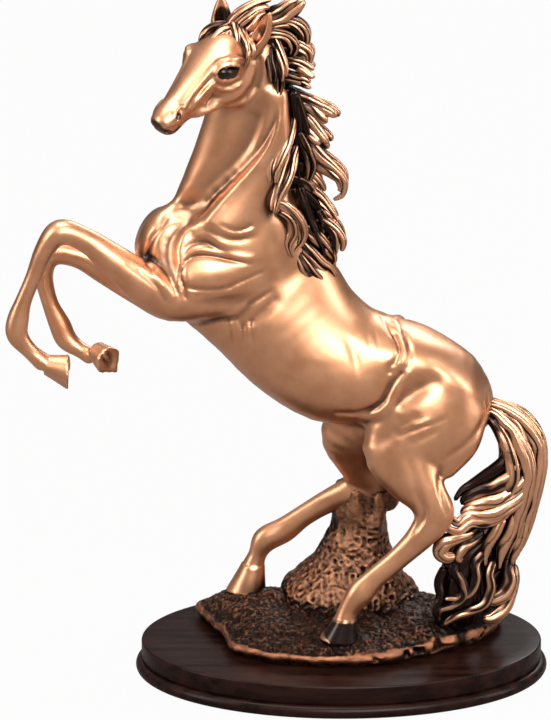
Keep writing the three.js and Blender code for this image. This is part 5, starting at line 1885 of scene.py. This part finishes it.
@dataclass
class Plinth:
    """The stepped oval plinth with its bullnose foot, and the felt under it."""

    half_length: float = 108.0
    half_width: float = 73.0
    height: float = 17.5
    step_height: float = 7.0
    step_width: float = 3.0
    cove: float = 1.5
    edge_round: float = 1.0
    felt: float = 1.5
    felt_inset: float = 8.0
    screws: Sequence[Pair] = ((-46, 6), (34, -20), (40, 24))
    recess: Pair = (6.5, 6.0)  # radius and depth of the pocket for a screw's head
    bore: float = 2.3  # radius of a screw's hole
    through: float = 40.0  # a height above the board, so that the hole runs right through
    around: int = 144

    def profile(self) -> list[Pair]:
        """The moulding from the underside up: distance in from the edge, and height over the felt."""
        nose = self.step_height / 2
        rows = [(40.0, 0.0), (8.0, 0.0)]
        for i in range(13):
            angle = (i / 12 - 0.5) * math.pi
            rows.append((nose * (1 - math.cos(angle)), nose * (1 + math.sin(angle))))
        wall = self.step_width
        rows += [(wall + 1.6, self.step_height + 0.05), (wall + 0.5, self.step_height + 0.4),
            (wall, self.step_height + self.cove)]
        rows.append((wall, self.height - self.edge_round))
        for i in range(1, 6):
            angle = i / 5 * math.pi / 2
            rows.append((wall + self.edge_round * (1 - math.cos(angle)),
                self.height - self.edge_round * (1 - math.sin(angle))))
        rows += [(12.0, self.height), (40.0, self.height)]
        return rows

    def oval(self, bm: BMesh, half_length: float) -> None:
        """Narrows a round form to the plinth's oval, by the same distance all along."""
        narrowing = (self.half_length - self.half_width) * MM
        for vert in bm.verts:
            radius = math.hypot(vert.co.x, vert.co.y)
            if radius > narrowing:
                vert.co.y *= (radius - narrowing) / radius
            elif radius > 0:
                vert.co.y *= 0.0

    def board(self) -> Object:
        """The turned board; the recess for each screw is drilled into it afterwards."""
        bm = bmesh.new()
        rows = self.profile()
        verts = [bm.verts.new(((self.half_length - inset) * MM, 0, (self.felt + z) * MM)) for inset,
            z in rows]
        edges = [bm.edges.new(pair) for pair in zip(verts, verts[1:])]
        bmesh.ops.spin(
            bm,
            geom=[*verts, *edges],
            cent=(0, 0, 0),
            axis=(0, 0, 1),
            angle=2 * math.pi,
            steps=self.around,
            use_merge=True,
        )
        self.oval(bm, self.half_length)
        bmesh.ops.remove_doubles(bm, verts=bm.verts, dist=1e-6)
        rims = [e for e in bm.edges if e.is_boundary]
        bmesh.ops.holes_fill(bm, edges=rims, sides=0)
        bmesh.ops.recalc_face_normals(bm, faces=bm.faces)
        return new_piece(bm, "oval_plinth_wood")

    def drill(self, made: Object, holes: Sequence[Triple]) -> None:
        """Cuts a round hole at each screw: radius, lowest and highest point of the hole."""
        bm = bmesh.new()
        for x, y in self.screws:
            for radius, low, high in holes:
                place = Matrix.Translation(Vector((x, y, (low + high) / 2)) * MM)
                bmesh.ops.create_cone(
                    bm,
                    cap_ends=True,
                    segments=32,
                    radius1=radius * MM,
                    radius2=radius * MM,
                    depth=(high - low) * MM,
                    matrix=place,
                )
        tool = new_piece(bm, "drill")
        cut = made.modifiers.new("drill", "BOOLEAN")
        cut.operation = "DIFFERENCE"
        cut.solver = "EXACT"
        cut.use_self = True
        cut.object = tool
        graph = bpy.context.evaluated_depsgraph_get()
        drilled = bpy.data.meshes.new_from_object(made.evaluated_get(graph))
        made.modifiers.clear()
        made.data = drilled
        bpy.data.objects.remove(tool)

    def build(self, wood: Material, felt: Material) -> None:
        """Makes the board and its felt."""
        board = self.board()
        self.drill(board, ((self.recess[0], -1, self.felt + self.recess[1]), (self.bore, 0, self.through)))
        board.data.shade_smooth()
        board.data.set_sharp_from_angle(angle=math.radians(35))
        finish_piece(board, wood, ["oval_plinth"])
        pad = self.pad()
        self.drill(pad, ((self.recess[0], -2, 4),))
        finish_piece(pad, felt, ["felt_base"])

    def pad(self) -> Object:
        """The felt, a flat oval."""
        bm = bmesh.new()
        radius = (self.half_length - self.felt_inset) * MM
        bmesh.ops.create_circle(bm, cap_ends=True, segments=self.around, radius=radius)
        self.oval(bm, self.half_length)
        raised = bmesh.ops.extrude_face_region(bm, geom=bm.faces[:])["geom"]
        lifted = [v for v in raised if isinstance(v, BMVert)]
        bmesh.ops.translate(bm, verts=lifted, vec=(0, 0, self.felt * MM))
        bmesh.ops.recalc_face_normals(bm, faces=bm.faces)
        return new_piece(bm, "felt_pad")


# Stage


@dataclass
class Studio:
    """A pale floor, soft lights and the camera."""

    distance: float = 5.0
    elevation: float = 20.0
    target: Triple = (-0.0346, 0.0, 0.1743)
    picture_height: float = 0.3744
    lit: Triple = (-0.02, 0, 0.18)  # where the soft boxes are aimed
    boxes: Sequence[tuple[str, Triple, Pair, float]] = (  # name, place, size and power of each
        ("key_front", (0.45, -1.8, 1.45), (1.4, 1.1), 50),
        ("top", (-0.25, 0.1, 1.9), (1.1, 0.9), 20),
        ("strip_left", (-1.6, -0.7, 0.9), (0.4, 1.3), 14),
        ("strip_right", (1.6, -0.4, 0.7), (0.35, 1.2), 11),
        ("rim_back", (0.6, 1.5, 1.2), (0.9, 0.7), 10),
    )

    def floor(self) -> None:
        """A wide white floor."""
        bm = bmesh.new()
        bmesh.ops.create_grid(bm, x_segments=1, y_segments=1, size=6.0)
        made = new_piece(bm, "floor")
        material, sheet, shader = new_material("white_floor")
        shader.inputs["Base Color"].default_value = (0.2, 0.18, 0.17, 1)
        shader.inputs["Roughness"].default_value = 0.9
        glow = sheet.add("ShaderNodeEmission", inputs={"Color": (1, 1, 1, 1), "Strength": 1.0})
        seen = sheet.add("ShaderNodeLightPath").outputs["Is Camera Ray"]
        share = sheet.math("MULTIPLY", seen, 0.97)
        mix = sheet.add("ShaderNodeMixShader", inputs={0: share, 1: shader.outputs[0], 2: glow.outputs[0]})
        sheet.feed(mix.outputs[0], material.node_tree.nodes["Material Output"].inputs["Surface"])
        made.data.materials.append(material)

    def area(self, name: str, place: Sequence[float], size: Pair, power: float) -> None:
        """A soft box that faces the statue."""
        light = bpy.data.lights.new(name, "AREA")
        light.shape = "RECTANGLE"
        light.size, light.size_y = size
        light.energy = power
        made = bpy.data.objects.new(name, light)
        made.location = place
        made.rotation_euler = (Vector(self.lit) - Vector(place)).to_track_quat("-Z", "Y").to_euler()
        bpy.context.scene.collection.objects.link(made)

    def lights(self) -> None:
        """Soft boxes in front, above and at the sides, in a dim room."""
        for name, place, size, power in self.boxes:
            self.area(name, place, size, power)
        world = bpy.data.worlds.new("studio")
        world.use_nodes = True
        bpy.context.scene.world = world
        sheet = NodeSheet(world.node_tree)
        up = sheet.add("ShaderNodeSeparateXYZ",
            inputs={0: sheet.add("ShaderNodeTexCoord").outputs["Generated"]}).outputs["Z"]
        shade = sheet.blend(sheet.span(up, -0.2, 0.9), (0.055, 0.047, 0.043, 1), (0.45, 0.435, 0.42, 1))
        seen = sheet.add("ShaderNodeLightPath").outputs["Is Camera Ray"]
        back = world.node_tree.nodes["Background"]
        sheet.feed(sheet.blend(seen, shade, (1, 1, 1, 1)), back.inputs["Color"])

    def camera(self) -> None:
        """A long lens, level across, looking down at the statue."""
        data = bpy.data.cameras.new("camera")
        data.sensor_fit = "VERTICAL"
        data.sensor_height = 24
        data.lens = 24 * self.distance / self.picture_height
        made = bpy.data.objects.new("camera", data)
        tilt = math.radians(self.elevation)
        made.location = Vector(self.target) + self.distance * Vector((0, -math.cos(tilt), math.sin(tilt)))
        made.rotation_euler = (math.pi / 2 - tilt, 0, 0)
        bpy.context.scene.collection.objects.link(made)
        bpy.context.scene.camera = made
        bpy.context.scene.view_settings.view_transform = "Standard"

    def build(self) -> None:
        """Sets the stage."""
        self.floor()
        self.lights()
        self.camera()


class Statue:
    """The whole statue: its finishes, its hollows and its sub-assemblies in order."""

    mane = {"forelock": FORELOCK, "mane_upper": MANE_UPPER, "mane_middle": MANE_MIDDLE,
        "mane_lower": MANE_LOWER}

    def __init__(self) -> None:
        """Mixes the finishes and fills the coarse copy that marks the hollows and where shade is painted.
        """
        patina = patina_and_shade_group()
        self.bronze = BronzeFinish(
            "rubbed_bronze", (0.82, 0.41, 0.222), (0.022, 0.008, 0.005), (0.54, 1.25), (0.39, 0.34)
        ).material(patina)
        self.hair = BronzeFinish(
            "hair_bronze", (0.85, 0.46, 0.28), (0.022, 0.009, 0.006), (0.5, 1.2), (0.34, 0.4), lacquer=0.25
        ).material(patina)
        self.bark = BronzeFinish(
            "bark_bronze", (0.6, 0.29, 0.16), (0.014, 0.006, 0.004), (0.3, 0.66), (0.34, 0.42),
            mottle=0.4, mottle_size=500.0, relief=1.0, lacquer=0.15,
        ).material(patina)
        self.dark = BronzeFinish(
            "dark_bronze", (0.38, 0.16, 0.085), (0.016, 0.008, 0.005), (0.18, 0.62), (0.34, 0.42),
            mottle=0.55, mottle_size=700.0, relief=1.0, lacquer=0.15,
        ).material(patina)
        self.horse = Horse()
        self.ground = Ground()
        self.cavities = Cavities()
        self.horse.sculpt(self.cavities.clay)
        self.ground.model(self.cavities.clay)
        for locks in (*self.mane.values(), TAIL):
            self.cavities.add_locks(locks)

    def build_horse(self) -> None:
        """The seven castings of the horse's body."""
        self.horse.build(self.bronze, self.cavities)

    def build_mane(self) -> None:
        """The forelock and the three sections of the mane, with locks on both sides of the crest."""
        for node, locks in self.mane.items():
            far = [] if node == "forelock" else mirrored(locks, -4)
            Hair(node, [*locks, *far]).build(self.hair, self.cavities)

    def build_tail(self) -> None:
        """The tail, parted into its dock, its fall and its tip."""
        dock, fall, tip = (TAIL_PARTINGS[k] for k in ("dock", "fall", "tip"))
        foot = ((0, 0, 8.5), (0, 0, -1))
        parts = {"tail_dock": (opposite(dock), fall), "tail_fall": (opposite(fall), tip),
            "tail_tip": (opposite(tip), foot)}
        for node, cuts in parts.items():
            hair = Hair(node, TAIL, parted=False, groove=0.72, dark_spots=TAIL_PAINTED_SHADE)
            hair.build(self.hair, self.cavities, cuts)

    def build_base(self) -> None:
        """The ground, the stump and the plinth with its felt."""
        self.ground.build(self.dark, self.cavities)
        Stump().build(self.bark, self.cavities)
        Plinth().build(WoodFinish().material(), FeltFinish().material())

    def dress_fixings(self) -> None:
        """Steel on the pins, studs, screws, washers and the collar, which keep their own shapes."""
        steel = SteelFinish().material()
        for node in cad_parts.values():
            node.data.materials.clear()
            node.data.materials.append(steel)


def main() -> None:
    """Sets the stage and builds the statue."""
    Studio().build()
    statue = Statue()
    statue.build_horse()
    statue.build_mane()
    statue.build_tail()
    statue.build_base()
    statue.dress_fixings()


if __name__ == "__main__":
    main()
